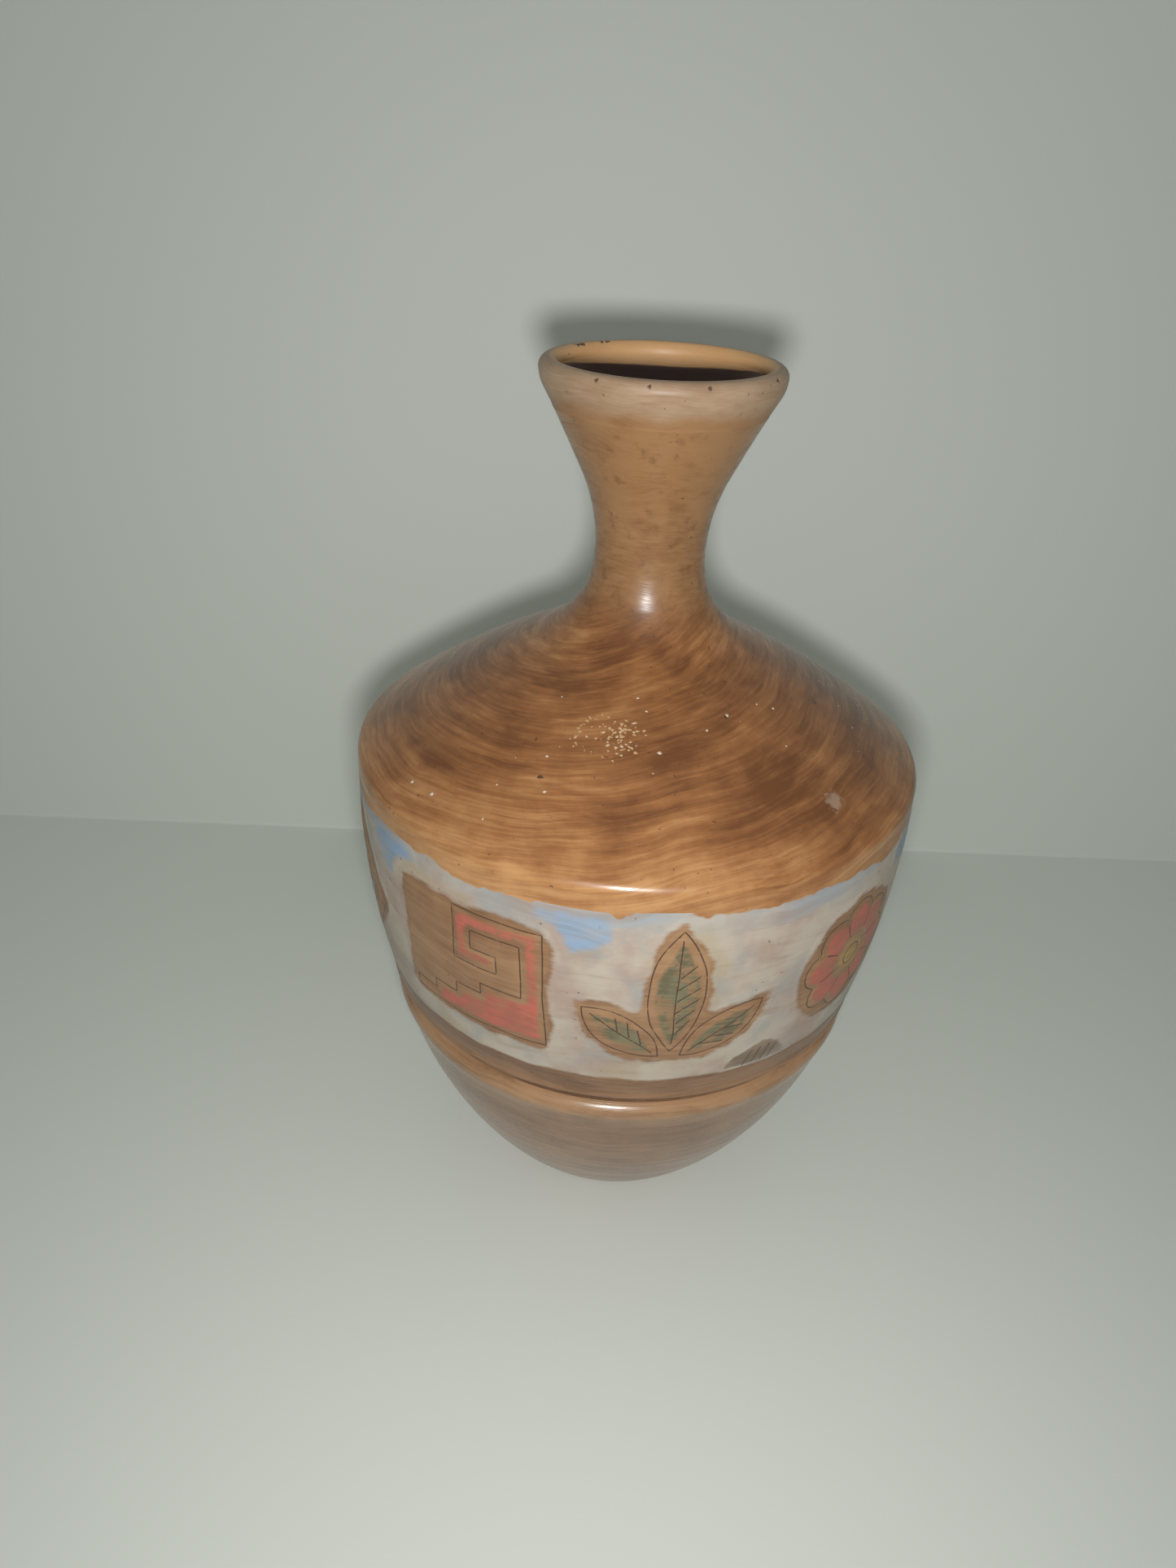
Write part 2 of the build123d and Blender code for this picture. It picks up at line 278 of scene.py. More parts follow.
def bow(start, via, end, step=0.8):
    """Points along the arc through three points."""
    (ax, ay), (bx, by), (cx, cy) = start, via, end
    twice = 2 * (ax * (by - cy) + bx * (cy - ay) + cx * (ay - by))
    a, b, c = ax ** 2 + ay ** 2, bx ** 2 + by ** 2, cx ** 2 + cy ** 2
    x = (a * (by - cy) + b * (cy - ay) + c * (ay - by)) / twice
    y = (a * (cx - bx) + b * (ax - cx) + c * (bx - ax)) / twice
    radius = hypot(ax - x, ay - y)
    first = atan2(ay - y, ax - x)
    turn = (atan2(cy - y, cx - x) - first) % (2 * pi)
    if (atan2(by - y, bx - x) - first) % (2 * pi) > turn:
        turn -= 2 * pi
    count = max(3, round(abs(turn) * radius / step))
    angles = [first + turn * i / count for i in range(count + 1)]
    return [(x + radius * cos(angle), y + radius * sin(angle)) for angle in angles]


def sweep(start, heading, end, step=0.8):
    """Points along the arc that leaves a point with a heading and reaches another point."""
    (ax, ay), (bx, by) = start, end
    chord = atan2(by - ay, bx - ax)
    lean = (chord - atan2(heading[1], heading[0]) + pi) % (2 * pi) - pi
    length = hypot(bx - ax, by - ay)
    if abs(lean) < 1e-4:
        return [start, end]
    bulge = length / 2 * (1 - cos(lean)) / sin(lean)
    middle = ((ax + bx) / 2 + bulge * sin(chord), (ay + by) / 2 - bulge * cos(chord))
    return bow(start, middle, end, step)


def heading_at_end(points):
    """The way a run of points on an arc is going where it ends."""
    (ax, ay), (bx, by), (cx, cy) = points[-3:]
    before, last = atan2(by - ay, bx - ax), atan2(cy - by, cx - bx)
    turn = (last - before + pi) % (2 * pi) - pi
    return cos(last + turn / 2), sin(last + turn / 2)


def run_together(*runs):
    """Runs of points end to end, without the repeated ends."""
    points = list(runs[0])
    for run in runs[1:]:
        points += run[1:]
    return points


def turning_marks(angle, height):
    """How far the turned surface dips below true, from the hand's unevenness on the wheel."""
    ripple = np.sin(height * 1.37 + 0.5 * np.sin(angle))
    ripple = ripple + 0.7 * np.sin(height * 0.71 + 1.3 + 0.4 * np.sin(angle * 2))
    slow = np.sin(height * 0.21 + angle) + np.sin(2 * angle + height * 0.09 + 0.6)
    return -0.045 - 0.011 * ripple - 0.012 * slow


def square_to(points):
    """The outward normals of an outline drawn upwards, foot to mouth."""
    run = np.gradient(points, axis=0)
    normals = np.stack([run[:, 1], -run[:, 0]], 1)
    return normals / np.linalg.norm(normals, axis=1)[:, None]


def put_in_scene(name, data):
    """A new object in the scene from its mesh, its light or its camera."""
    placed = bpy.data.objects.new(name, data)
    bpy.context.scene.collection.objects.link(placed)
    return placed


def finish_piece(name, corners, faces, material, stands_for, marks):
    """Makes a piece of the vase from corners in millimetres, rides it, and hides the frame's parts that it
    stands for.
    """
    mesh = bpy.data.meshes.new(name)
    mesh.from_pydata((np.asarray(corners) * MM).tolist(), [], faces)
    mesh.update()
    mesh.shade_smooth()
    mesh.set_sharp_from_angle(angle=radians(50))
    for label, values in marks.items():
        mesh.attributes.new(label, "FLOAT", "POINT").data.foreach_set("value", np.asarray(values, np.float32))
    mesh.materials.append(material)
    piece = put_in_scene(name, mesh)
    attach(piece, "root")
    if stands_for:
        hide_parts(*stands_for)


def turned_coat(name, outline, material, steps, chips=(), beneath=None):
    """A thin closed coat on a turned outline; a chip is (degrees round, (radius, height), width, depth)."""
    outline = np.array(outline)
    normals = square_to(outline)
    skin = outline + normals * COAT
    base = outline if beneath is None else np.array(beneath)
    back = base[::-3] if (len(base) - 1) % 3 == 0 else np.vstack([base[::-3], base[:1]])
    loop = np.vstack([skin, back])
    rows = len(skin)
    inward = np.vstack([normals, np.zeros_like(back)])
    angles = np.arange(steps) * 2 * pi / steps
    angle, row = np.meshgrid(angles, np.arange(len(loop)), indexing="ij")
    radius, height = loop[row, 0], loop[row, 1]
    ends = np.clip(np.minimum(row, rows - 1 - row) / 2, 0, 1)
    sink = np.where(row < rows, turning_marks(angle, height) * ends, 0.0)
    chipped = np.zeros_like(sink)
    for turn, spot, width, depth in chips:
        nearest = np.argmin(np.hypot(*(skin - spot).T))
        off_axis = (angle - radians(turn) + pi) % (2 * pi) - pi
        across = off_axis * radius
        along = np.hypot(radius - skin[nearest, 0], height - skin[nearest, 1])
        ragged = 0.25 * np.sin(across * 5 + turn) + 0.2 * np.sin(along * 7 + across * 3)
        reach = np.hypot(across / 1.5, along) / (width / 2) + ragged
        hurt = np.clip((1.15 - reach) / 0.5, 0, 1) * (row < rows)
        chipped = np.maximum(chipped, hurt)
        sink = sink - depth * hurt
    radius = radius + sink * inward[row, 0]
    height = height + sink * inward[row, 1]
    corners = np.stack([radius * np.sin(angle), -radius * np.cos(angle), height], -1).reshape(-1, 3)
    count = len(loop)
    faces = []
    for turn in range(steps):
        here, there = turn * count, (turn + 1) % steps * count
        for i, after in enumerate([*range(1, count), 0]):
            faces.append((here + i, there + i, there + after, here + after))
    finish_piece(name, corners, faces, material, [name], {"chip": chipped.ravel()})


def make_brushed_slip():
    """Slip brushed round the turning vase: long streaks in three tones, with a few dark specks."""
    inputs = {"Light": (0.5, 0.3, 0.2, 1), "Middle": (0.3, 0.2, 0.1, 1), "Dark": (0.1, 0.05, 0.02, 1),
              "Cover": 0.5, "Contrast": 1.0, "Hairs": 0.6, "Slant": 0.0, "Seed": 0.0}
    tree, given, out = open_group("Brushed slip", inputs, ["Colour", "Height", "Tone"])
    where = place_in_mm(tree)
    slant = given["Slant"]
    second, third = (reckon(tree, "ADD", given["Seed"], step) for step in (2.3, 5.1))
    broad = wheel_lines(tree, 30.0, 4.6, 6.0, Slant=slant, Seed=given["Seed"])
    strokes = wheel_lines(tree, 24.0, 1.1, 3.0, Slant=slant, Seed=second)
    hairs = wheel_lines(tree, 18.0, 0.36, 3.4, Slant=slant, Seed=third)
    cloud = mottle(tree, where, 0.055, 5.0, 0.62)
    tone = swing(tree, broad, 0.75)
    for layer, share in ((strokes, 0.60), (hairs, given["Hairs"]), (cloud, 0.95)):
        tone = reckon(tree, "MULTIPLY_ADD", reckon(tree, "SUBTRACT", layer, 0.5), share, tone)
    tone = reckon(tree, "ADD", reckon(tree, "MULTIPLY", tone, given["Contrast"]), given["Cover"])
    colour = lay_over(tree, ease(tree, tone, 0.10, 0.66), given["Light"], given["Middle"])
    colour = lay_over(tree, ease(tree, tone, 0.48, 1.05), colour, given["Dark"])
    specks = ease(tree, mottle(tree, where, 0.85, 0.0), 0.815, 0.85)
    feed(tree, out["Colour"], lay_over(tree, reckon(tree, "MULTIPLY", specks, 0.55), colour, SPECK))
    height = reckon(tree, "MULTIPLY_ADD", hairs, 0.6, reckon(tree, "MULTIPLY", strokes, 0.4))
    feed(tree, out["Height"], height)
    feed(tree, out["Tone"], tone)
    return tree


brushed_slip = make_brushed_slip()


def brush(tree, tones, cover, contrast, **more):
    """Brushed slip in three tones, laid thick or thin by its cover."""
    light, middle, dark = tones
    tones = {"Light": light, "Middle": middle, "Dark": dark}
    return use_group(tree, brushed_slip, **tones, Cover=cover, Contrast=contrast, **more)


def height_of(tree):
    """How high a point of the vase is, in millimetres."""
    return part_of(tree, place_in_mm(tree), "Z")


def kept_on_mesh(tree, label):
    """A value kept on the mesh at each corner."""
    kept = tree.nodes.new("ShaderNodeAttribute")
    kept.attribute_name = label
    return kept.outputs["Fac"]


def chip_mask(tree):
    """Where the slip is chipped away."""
    return ease(tree, kept_on_mesh(tree, "chip"), 0.25, 0.6)


def make_bowl_stain():
    """Brown stain, rubbed through to tan on the ridge."""
    material, tree, shader = new_finish("bowl_stain_brown", 0.40, 0.22)
    height = height_of(tree)
    slip = brush(tree, BOWL_TONES, ease(tree, height, 62.0, 72.0, 0.52, 0.34), 0.95, Seed=4.0)
    rubbed = ease(tree, height, 65.5, 72.6, 0.0, 0.85)
    rubbed = reckon(tree, "MULTIPLY", rubbed, ease(tree, slip["Tone"], 0.80, 0.15))
    colour = lay_over(tree, rubbed, slip["Colour"], RUBBED)
    lines = wheel_lines(tree, 200.0, 0.7, 0.6)
    relief = reckon(tree, "MULTIPLY_ADD", lines, ease(tree, height, 64.0, 71.0, 1.0, 4.5), slip["Height"])
    dress(tree, shader, colour, lines, (0.20, 0.34), relief, 0.035)
    return material


bowl_clay = bow(*up_arc(BOWL_ARC, STAIN_LOW, BOWL_TOP))
bowl_clay = run_together(bowl_clay, bow((radius_on(BOWL_ARC, BOWL_TOP), BOWL_TOP), RIDGE, SILL, 0.35))

# The stain makes the ridge fuller and rounder than the clay under it.
(bead_r, bead_z), bead_size = BEAD
bead_turns = [radians(turn) for turn in range(BEAD_TURN[0], BEAD_TURN[1] + 1, 5)]
bead = [(bead_r + bead_size * cos(turn), bead_z + bead_size * sin(turn)) for turn in bead_turns]
bowl_side = bow(*up_arc(BOWL_ARC, STAIN_LOW, BEAD_START))
bowl_skin = run_together(bowl_side, sweep(bowl_side[-1], heading_at_end(bowl_side), bead[0]), bead)
turned_coat("bowl_stain", bowl_skin, make_bowl_stain(), steps=400, beneath=bowl_clay)


# ---- Stain on the belt's hem ----
# The belt's lower lip overhangs the bowl's ridge. Brown slip covers it from the groove up to the white
# ground. It is painted darker in the groove as shade, and thin where the lip turns over.
BELT_ARC = ((-177.3, 141.5), 259.2)
BELT_FOOT = (70.0, 74.2)
COVE = ((70.9, 77.0), (73.3, 78.2))
LIP_TURN = (74.5, 78.9)
BELT_LOW = 80.6
GROUND_LOW = 86.9
HEM_TONES = ((0.300, 0.162, 0.082, 1), (0.210, 0.106, 0.052, 1), (0.105, 0.049, 0.024, 1))


def make_hem_stain():
    """Brown stain, painted darker in the groove as shade, and thin on the lip."""
    material, tree, shader = new_finish("hem_stain_brown", 0.1, 0.3)
    height = height_of(tree)
    # The stain's cover is raised in the groove as painted shade.
    groove_shade, above = ease(tree, height, 75.5, 78.8, 0.45, 0.0), ease(tree, height, 82.5, 85.5, 0.36, 0.52)
    slip = brush(tree, HEM_TONES, reckon(tree, "ADD", groove_shade, above), 1.1, Seed=9.0)
    dress(tree, shader, slip["Colour"], slip["Height"], (0.30, 0.44), slip["Height"], 0.03)
    return material


lip_end = (radius_on(BELT_ARC, BELT_LOW), BELT_LOW)
hem_outline = run_together(bow(BELT_FOOT, *COVE, 0.5), bow(COVE[1], LIP_TURN, lip_end, 0.35),
                           bow(*up_arc(BELT_ARC, BELT_LOW, GROUND_LOW), 0.6))
turned_coat("belt_hem_stain", hem_outline, make_hem_stain(), steps=400)


# ---- White ground of the belt ----
# White slip laid round the belt and rubbed smooth, the ground for the painting.
# It is thin: pinkish and greyish where the clay shows through it, warmer in places, with faint level lines.
# The brown slips of the hem and the shoulder are brushed over its two edges.
GROUND_HIGH = 148.0
WHITE = (0.500, 0.430, 0.350, 1)
WHITE_PINK = (0.395, 0.275, 0.220, 1)
WHITE_GREY = (0.330, 0.325, 0.310, 1)
WHITE_WARM = (0.430, 0.345, 0.220, 1)
WHITE_BLUE = (0.330, 0.372, 0.405, 1)
WHITE_THIN = (0.330, 0.225, 0.165, 1)
WHITE_SPECK = (0.12, 0.07, 0.045, 1)
STAIN_TONES = ((0.525, 0.275, 0.112, 1), (0.320, 0.135, 0.047, 1), (0.155, 0.058, 0.020, 1))


def make_white_ground():
    """The white ground's colour and its fine relief, with a breath of blue along its upper edge."""
    tree, _, out = open_group("White ground", {}, ["Colour", "Height"])
    where = place_in_mm(tree)
    smears = wheel_lines(tree, 22.0, 4.0, 4.0, Seed=21.0)
    lines = wheel_lines(tree, 40.0, 0.55, 1.5, Seed=3.0)
    pink = ease(tree, mottle(tree, where, 0.042, 4.0, 0.6), 0.42, 0.62)
    grey = ease(tree, mottle(tree, steer(tree, "ADD", where, (90, 0, 30)), 0.050, 4.0, 0.6), 0.48, 0.66)
    warm = ease(tree, mottle(tree, steer(tree, "ADD", where, (0, 170, 60)), 0.060, 3.0), 0.52, 0.68)
    colour = WHITE
    for mask, share, tint in ((pink, 0.80, WHITE_PINK), (grey, 0.70, WHITE_GREY), (warm, 0.60, WHITE_WARM)):
        colour = lay_over(tree, reckon(tree, "MULTIPLY", mask, share), colour, tint)
    smeared_up = reckon(tree, "MULTIPLY_ADD", reckon(tree, "SUBTRACT", smears, 0.5), 26.0, height_of(tree))
    in_places = ease(tree, mottle(tree, where, 0.022, 1.0), 0.42, 0.58, 0.25, 0.8)
    blue = reckon(tree, "MULTIPLY", ease(tree, smeared_up, 139.5, 145.0), in_places)
    colour = lay_over(tree, blue, colour, WHITE_BLUE)
    colour = lay_over(tree, ease(tree, smears, 0.52, 0.78, 0.0, 0.6), colour, WHITE_THIN)
    colour = lay_over(tree, ease(tree, lines, 0.55, 0.85, 0.0, 0.35), colour, WHITE_THIN)
    specks = ease(tree, mottle(tree, where, 0.7, 0.0), 0.82, 0.86)
    feed(tree, out["Colour"], lay_over(tree, reckon(tree, "MULTIPLY", specks, 0.6), colour, WHITE_SPECK))
    feed(tree, out["Height"], lines)
    return tree


white_ground = make_white_ground()


def shoulder_slip(tree, height):
    """The shoulder's streaked stain, thicker towards the neck and in clouds, and darker towards +X."""
    where = place_in_mm(tree)
    cover = ease(tree, height, 150.0, 167.0, 0.36, 0.70)
    for more in (ease(tree, height, 175.0, 187.0, 0.0, -0.08),
                 ease(tree, mottle(tree, where, 0.024, 3.0), 0.35, 0.65, -0.10, 0.10),
                 # Darker towards +X, the right as seen from the front.
                 ease(tree, part_of(tree, where, "X"), -70.0, 70.0, -0.06, 0.16)):
        cover = reckon(tree, "ADD", cover, more)
    return brush(tree, STAIN_TONES, cover, 1.05, Hairs=0.30, Slant=15.0)


def make_ground_finish():
    """White ground, with the shoulder's and the hem's brown over its edges."""
    material, tree, shader = new_finish("belt_white", 0.12, 0.35)
    height = height_of(tree)
    slip = use_group(tree, white_ground)
    below = brush(tree, HEM_TONES, 0.52, 1.1, Seed=9.0)
    wave = swing(tree, mottle(tree, place_in_mm(tree), 0.07, 3.0, 0.6), 9.0)
    over = ease(tree, reckon(tree, "ADD", height, wave), 146.0, 146.7)
    under = ease(tree, reckon(tree, "ADD", height, reckon(tree, "MULTIPLY", wave, 0.35)), 88.4, 87.2)
    colour = lay_over(tree, over, slip["Colour"], shoulder_slip(tree, height)["Colour"])
    colour = lay_over(tree, under, colour, below["Colour"])
    dress(tree, shader, colour, slip["Height"], (0.42, 0.58), slip["Height"], 0.025)
    return material


ground_outline = bow(*up_arc(BELT_ARC, GROUND_LOW, GROUND_HIGH), 1.0)
turned_coat("white_ground", ground_outline, make_ground_finish(), steps=480)


# ---- Stain on the shoulder ----
# Brown slip brushed in long curved strokes over the tan shoulder, from the belt's upper edge to the neck,
# then burnished. The strokes are dense near the neck and open towards the edge. A few pits show dark, and
# a scuff pale.
BELT_TOP = 148.7
EDGE_START = 149.9
DOME_ARC = ((-114.5, -108.4), 327.5)
DOME_OUTER = 78.6
DOME_INNER = 33.5
COLLAR = (22.85, 190.8)
EDGE_ROUND = 3.6
PIT_COUNT = 9
PIT_REACH = (40, 76)
PIT_WIDTH = (0.7, 1.4)
PIT_DEPTH = 0.10
SCUFF_TURN = (40, 80)
SCUFF_REACH = (64, 76)
PIT_DARK = (0.100, 0.050, 0.028, 1)
SCUFF_PALE = (0.560, 0.440, 0.330, 1)


def make_shoulder_stain():
    """Streaked brown stain, with dark pits and one pale scuff."""
    material, tree, shader = new_finish("shoulder_stain_brown", 0.08, 0.20)
    where = place_in_mm(tree)
    slip = shoulder_slip(tree, height_of(tree))
    from_scuff = steer(tree, "LENGTH", steer(tree, "SUBTRACT", where, scuff_place()))
    ragged = swing(tree, mottle(tree, where, 0.7, 3.0), 6.0)
    scuffed = ease(tree, reckon(tree, "ADD", from_scuff, ragged), 3.4, 1.4, 0.0, 0.40)
    colour = lay_over(tree, scuffed, slip["Colour"], SCUFF_PALE)
    colour = lay_over(tree, chip_mask(tree), colour, PIT_DARK)
    dress(tree, shader, colour, slip["Height"], (0.24, 0.38), slip["Height"], 0.03)
    return material


def on_dome(radius):
    """The point of the shoulder's dome at a radius."""
    (centre_r, centre_z), size = DOME_ARC
    return radius, centre_z + sqrt(size ** 2 - (radius - centre_r) ** 2)


def scuff_place():
    """Where the shoulder was scuffed: somewhere near its edge, to the right of the front."""
    rng = np.random.default_rng(11)
    turn = radians(rng.uniform(*SCUFF_TURN))
    radius, height = on_dome(rng.uniform(*SCUFF_REACH))
    return radius * sin(turn), -radius * cos(turn), height


def scatter_pits():
    """Small pits anywhere round the shoulder, as turned_coat takes its chips."""
    rng = np.random.default_rng(3)
    return [(rng.uniform(-180, 180), on_dome(rng.uniform(*PIT_REACH)), rng.uniform(*PIT_WIDTH), PIT_DEPTH)
            for _ in range(PIT_COUNT)]


edge_low, edge_high = ((radius_on(BELT_ARC, z), z) for z in (GROUND_HIGH, BELT_TOP))
side = edge_high[0]
dome_outline = bow(on_dome(DOME_OUTER), on_dome((DOME_OUTER + DOME_INNER) / 2), on_dome(DOME_INNER), 0.9)
collar_outline = sweep(dome_outline[-1], heading_at_end(dome_outline), COLLAR)
shoulder_turn = sweep((side, EDGE_START), (0, 1), dome_outline[0], 0.5)
rise = [edge_low, edge_high, shoulder_turn[0]]
shoulder_outline = run_together(rise, shoulder_turn, dome_outline, collar_outline)

# The stain's edge is a little crisper than the clay under it: a tight round between the belt's side and
# the dome.
(dome_r, dome_z), dome_size = DOME_ARC
slope = Vector((dome_z - dome_outline[0][1], dome_outline[0][0] - dome_r)) / dome_size
reach = (side - dome_outline[0][0]) / -slope.x
corner = Vector((side, dome_outline[0][1] - reach * slope.y))
half_turn = slope.angle(Vector((0, 1))) / 2
trim = EDGE_ROUND * sin(half_turn) / cos(half_turn)
crisp_turn = sweep((side, corner.y - trim), (0, 1), tuple(corner + trim * slope), 0.35)
side_rise = [(side, rise[-1][1] + (crisp_turn[0][1] - rise[-1][1]) * i / 4) for i in range(5)]
onto_dome = [crisp_turn[-1], dome_outline[0]]
stain_outline = run_together(rise, side_rise, crisp_turn, onto_dome, dome_outline, collar_outline)
turned_coat("shoulder_stain", stain_outline, make_shoulder_stain(), steps=720,
            chips=scatter_pits(), beneath=shoulder_outline)


# ---- Stain on the neck ----
# The same brown slip, wiped thinner as the neck rises: dark at the root and tan under the mouth.
# Scattered dabs of it are left darker, and it is burnished like the shoulder.
NECK_FILLET = ((19.4, 195.0), (17.0, 199.0))
WAIST = (14.75, 211.0)
FLARE = (19.5, 232.0)
FLARE_TOP = (27.6, 248.4)
NECK_TONES = ((0.360, 0.194, 0.086, 1), (0.265, 0.130, 0.052, 1), (0.145, 0.061, 0.024, 1))


def neck_slip(tree, height):
    """The neck's tan stain, wiped thin under the mouth."""
    root, above = ease(tree, height, 188.0, 212.0, 0.12, 0.0), ease(tree, height, 205.0, 240.0, 0.44, 0.20)
    return brush(tree, NECK_TONES, reckon(tree, "ADD", root, above), 1.0, Seed=13.0)


def make_neck_stain():
    """The shoulder's stain at the root, the neck's above it, and dark dabs."""
    material, tree, shader = new_finish("neck_stain_tan", 0.08, 0.26)
    height = height_of(tree)
    root, slip = shoulder_slip(tree, height), neck_slip(tree, height)
    colour = lay_over(tree, ease(tree, height, 190.0, 206.0), root["Colour"], slip["Colour"])
    dabs = ease(tree, mottle(tree, place_in_mm(tree), 0.20, 4.0, 0.65), 0.54, 0.70)
    dabs = reckon(tree, "MULTIPLY", dabs, ease(tree, height, 251.0, 243.0))
    colour = lay_over(tree, reckon(tree, "MULTIPLY", dabs, 0.45), colour, NECK_TONES[2])
    dress(tree, shader, colour, slip["Height"], (0.26, 0.42), slip["Height"], 0.05)
    return material


waist_outline = sweep(WAIST, (0, -1), NECK_FILLET[1])
flare_outline = sweep(WAIST, (0, 1), FLARE)
flare_top_outline = sweep(FLARE, heading_at_end(flare_outline), FLARE_TOP)
neck_outline = run_together(bow(COLLAR, *NECK_FILLET), waist_outline[::-1], flare_outline, flare_top_outline)
turned_coat("neck_stain", neck_outline, make_neck_stain(), steps=360)


# ---- Pale slip on the lip ----
# A band of pale greyish slip round the mouth, rolled over the lip and burnished.
# The lip has been knocked: small chips on the two edges of its crown show the dark core of the clay.
MOUTH_FLARE = (30.2, 253.2)
MOUTH_SIDE = (31.3, 256.8)
CROWN_OUT = ((31.05, 258.7), (29.9, 259.6))
CROWN_IN = ((28.3, 259.6), (27.3, 258.6))
CROWN = (29.2, 259.6)
LIP_INSIDE = (27.0, 256.8)
LIP_TONES = ((0.445, 0.310, 0.200, 1), (0.345, 0.215, 0.125, 1), (0.245, 0.135, 0.068, 1))
ORANGE_TONES = ((0.700, 0.410, 0.188, 1), (0.600, 0.330, 0.142, 1), (0.400, 0.198, 0.082, 1))
# The next colour is a painted shadow: the dark laid inside the mouth where the front of the rim shades it.
MOUTH_SHADOW_DARK = (0.085, 0.038, 0.028, 1)
KNOCKS_BEHIND = (-180, -120)
CHIPS_AHEAD = (-60, 60)
CHIP_DEPTH = 0.18
CHIP_DARK = (0.130, 0.080, 0.052, 1)


def knock_lip():
    """Knocks of two chips each on the lip's inner edge behind, and small chips on its outer edge in front."""
    rng = np.random.default_rng(5)
    chips = []
    for turn in rng.uniform(*KNOCKS_BEHIND, 3):
        chips += [(turn + step, CROWN_IN[0], rng.uniform(1.0, 2.2), CHIP_DEPTH) for step in (0, 4)]
    ahead = rng.uniform(*CHIPS_AHEAD, 4)
    return chips + [(turn, CROWN_OUT[0], rng.uniform(0.7, 1.1), CHIP_DEPTH) for turn in ahead]


def orange_brush(tree):
    """The orange slip of the mouth's inside."""
    return brush(tree, ORANGE_TONES, 0.34, 0.5, Seed=29.0)


def in_rim_shadow(tree):
    """Where the inside is painted dark as shadow: below a tilted line, lower at the back, where the front of
    the rim casts its shadow.
    """
    where = place_in_mm(tree)
    wave = swing(tree, mottle(tree, where, 0.06, 2.0), 0.9)
    level = reckon(tree, "MULTIPLY_ADD", part_of(tree, where, "Y"), 0.14, part_of(tree, where, "Z"))
    return ease(tree, reckon(tree, "ADD", level, wave), 258.0, 257.4)


def make_lip_slip():
    """Pale slip over the neck's tan, orange on the inside of the crown with the rim's painted shadow on it,
    and dark chips.
    """
    material, tree, shader = new_finish("lip_pale", 0.08, 0.34)
    where = place_in_mm(tree)
    height = height_of(tree)
    slip = brush(tree, LIP_TONES, 0.32, 0.9, Seed=17.0)
    wave = swing(tree, mottle(tree, where, 0.12, 4.0, 0.6), 6.0)
    band = ease(tree, reckon(tree, "ADD", height, wave), 249.2, 254.6)
    colour = lay_over(tree, band, neck_slip(tree, height)["Colour"], slip["Colour"])
    from_axis = steer(tree, "LENGTH", steer(tree, "MULTIPLY", where, (1, 1, 0)))
    inside = reckon(tree, "MULTIPLY", ease(tree, from_axis, 29.6, 28.2), ease(tree, height, 255.0, 255.6))
    # Painted shadow of the front rim on the inside of the crown.
    rim_shadow = reckon(tree, "MULTIPLY", in_rim_shadow(tree), ease(tree, from_axis, 28.4, 27.7))
    inner = lay_over(tree, rim_shadow, orange_brush(tree)["Colour"], MOUTH_SHADOW_DARK)
    chips = chip_mask(tree)
    colour = lay_over(tree, chips, lay_over(tree, inside, colour, inner), CHIP_DARK)
    feed(tree, shader.inputs["Base Color"], colour)
    feed(tree, shader.inputs["Roughness"], ease(tree, chips, 0.0, 1.0, 0.50, 0.85))
    add_relief(tree, shader, slip["Height"], 0.025)
    return material


mouth_flare_outline = sweep(FLARE_TOP, heading_at_end(flare_top_outline), MOUTH_FLARE, 0.35)
mouth_side_outline = sweep(MOUTH_FLARE, heading_at_end(mouth_flare_outline), MOUTH_SIDE, 0.35)
crown_out = sweep(CROWN, (1, 0), MOUTH_SIDE, 0.35)
crown_in = sweep(CROWN, (-1, 0), LIP_INSIDE, 0.35)
lip_clay = run_together(mouth_flare_outline, mouth_side_outline, crown_out[::-1], crown_in)
square_lip = run_together(bow(MOUTH_SIDE, *CROWN_OUT, 0.35), [CROWN_OUT[1], CROWN, CROWN_IN[0]],
                          bow(*CROWN_IN, LIP_INSIDE, 0.35))
lip_outline = run_together(mouth_flare_outline, mouth_side_outline, square_lip)
turned_coat("lip_slip", lip_outline, make_lip_slip(), steps=720,
            chips=knock_lip(), beneath=lip_clay)


# ---- Slip inside the mouth ----
# Orange-tan slip poured round the inside of the mouth and out again. Below a line that lies lower at the back
# it is painted dark: a painted shadow, cast by the front of the rim.
THROAT = (15.6, 233.0)
WAIST_INSIDE = (10.75, 211.0)


def make_mouth_slip():
    """Orange slip, painted dark below a tilted line as the shadow of the front of the rim."""
    material, tree, shader = new_finish("mouth_orange", 0.1, 0.35)
    slip = orange_brush(tree)
    colour = lay_over(tree, in_rim_shadow(tree), slip["Colour"], MOUTH_SHADOW_DARK)
    dress(tree, shader, colour, slip["Height"], (0.46, 0.6), slip["Height"], 0.03)
    return material


throat_outline = sweep(WAIST_INSIDE, (0, 1), THROAT)
funnel_outline = sweep(THROAT, heading_at_end(throat_outline), LIP_INSIDE)
turned_coat("mouth_stain", funnel_outline[::-1], make_mouth_slip(), steps=240)


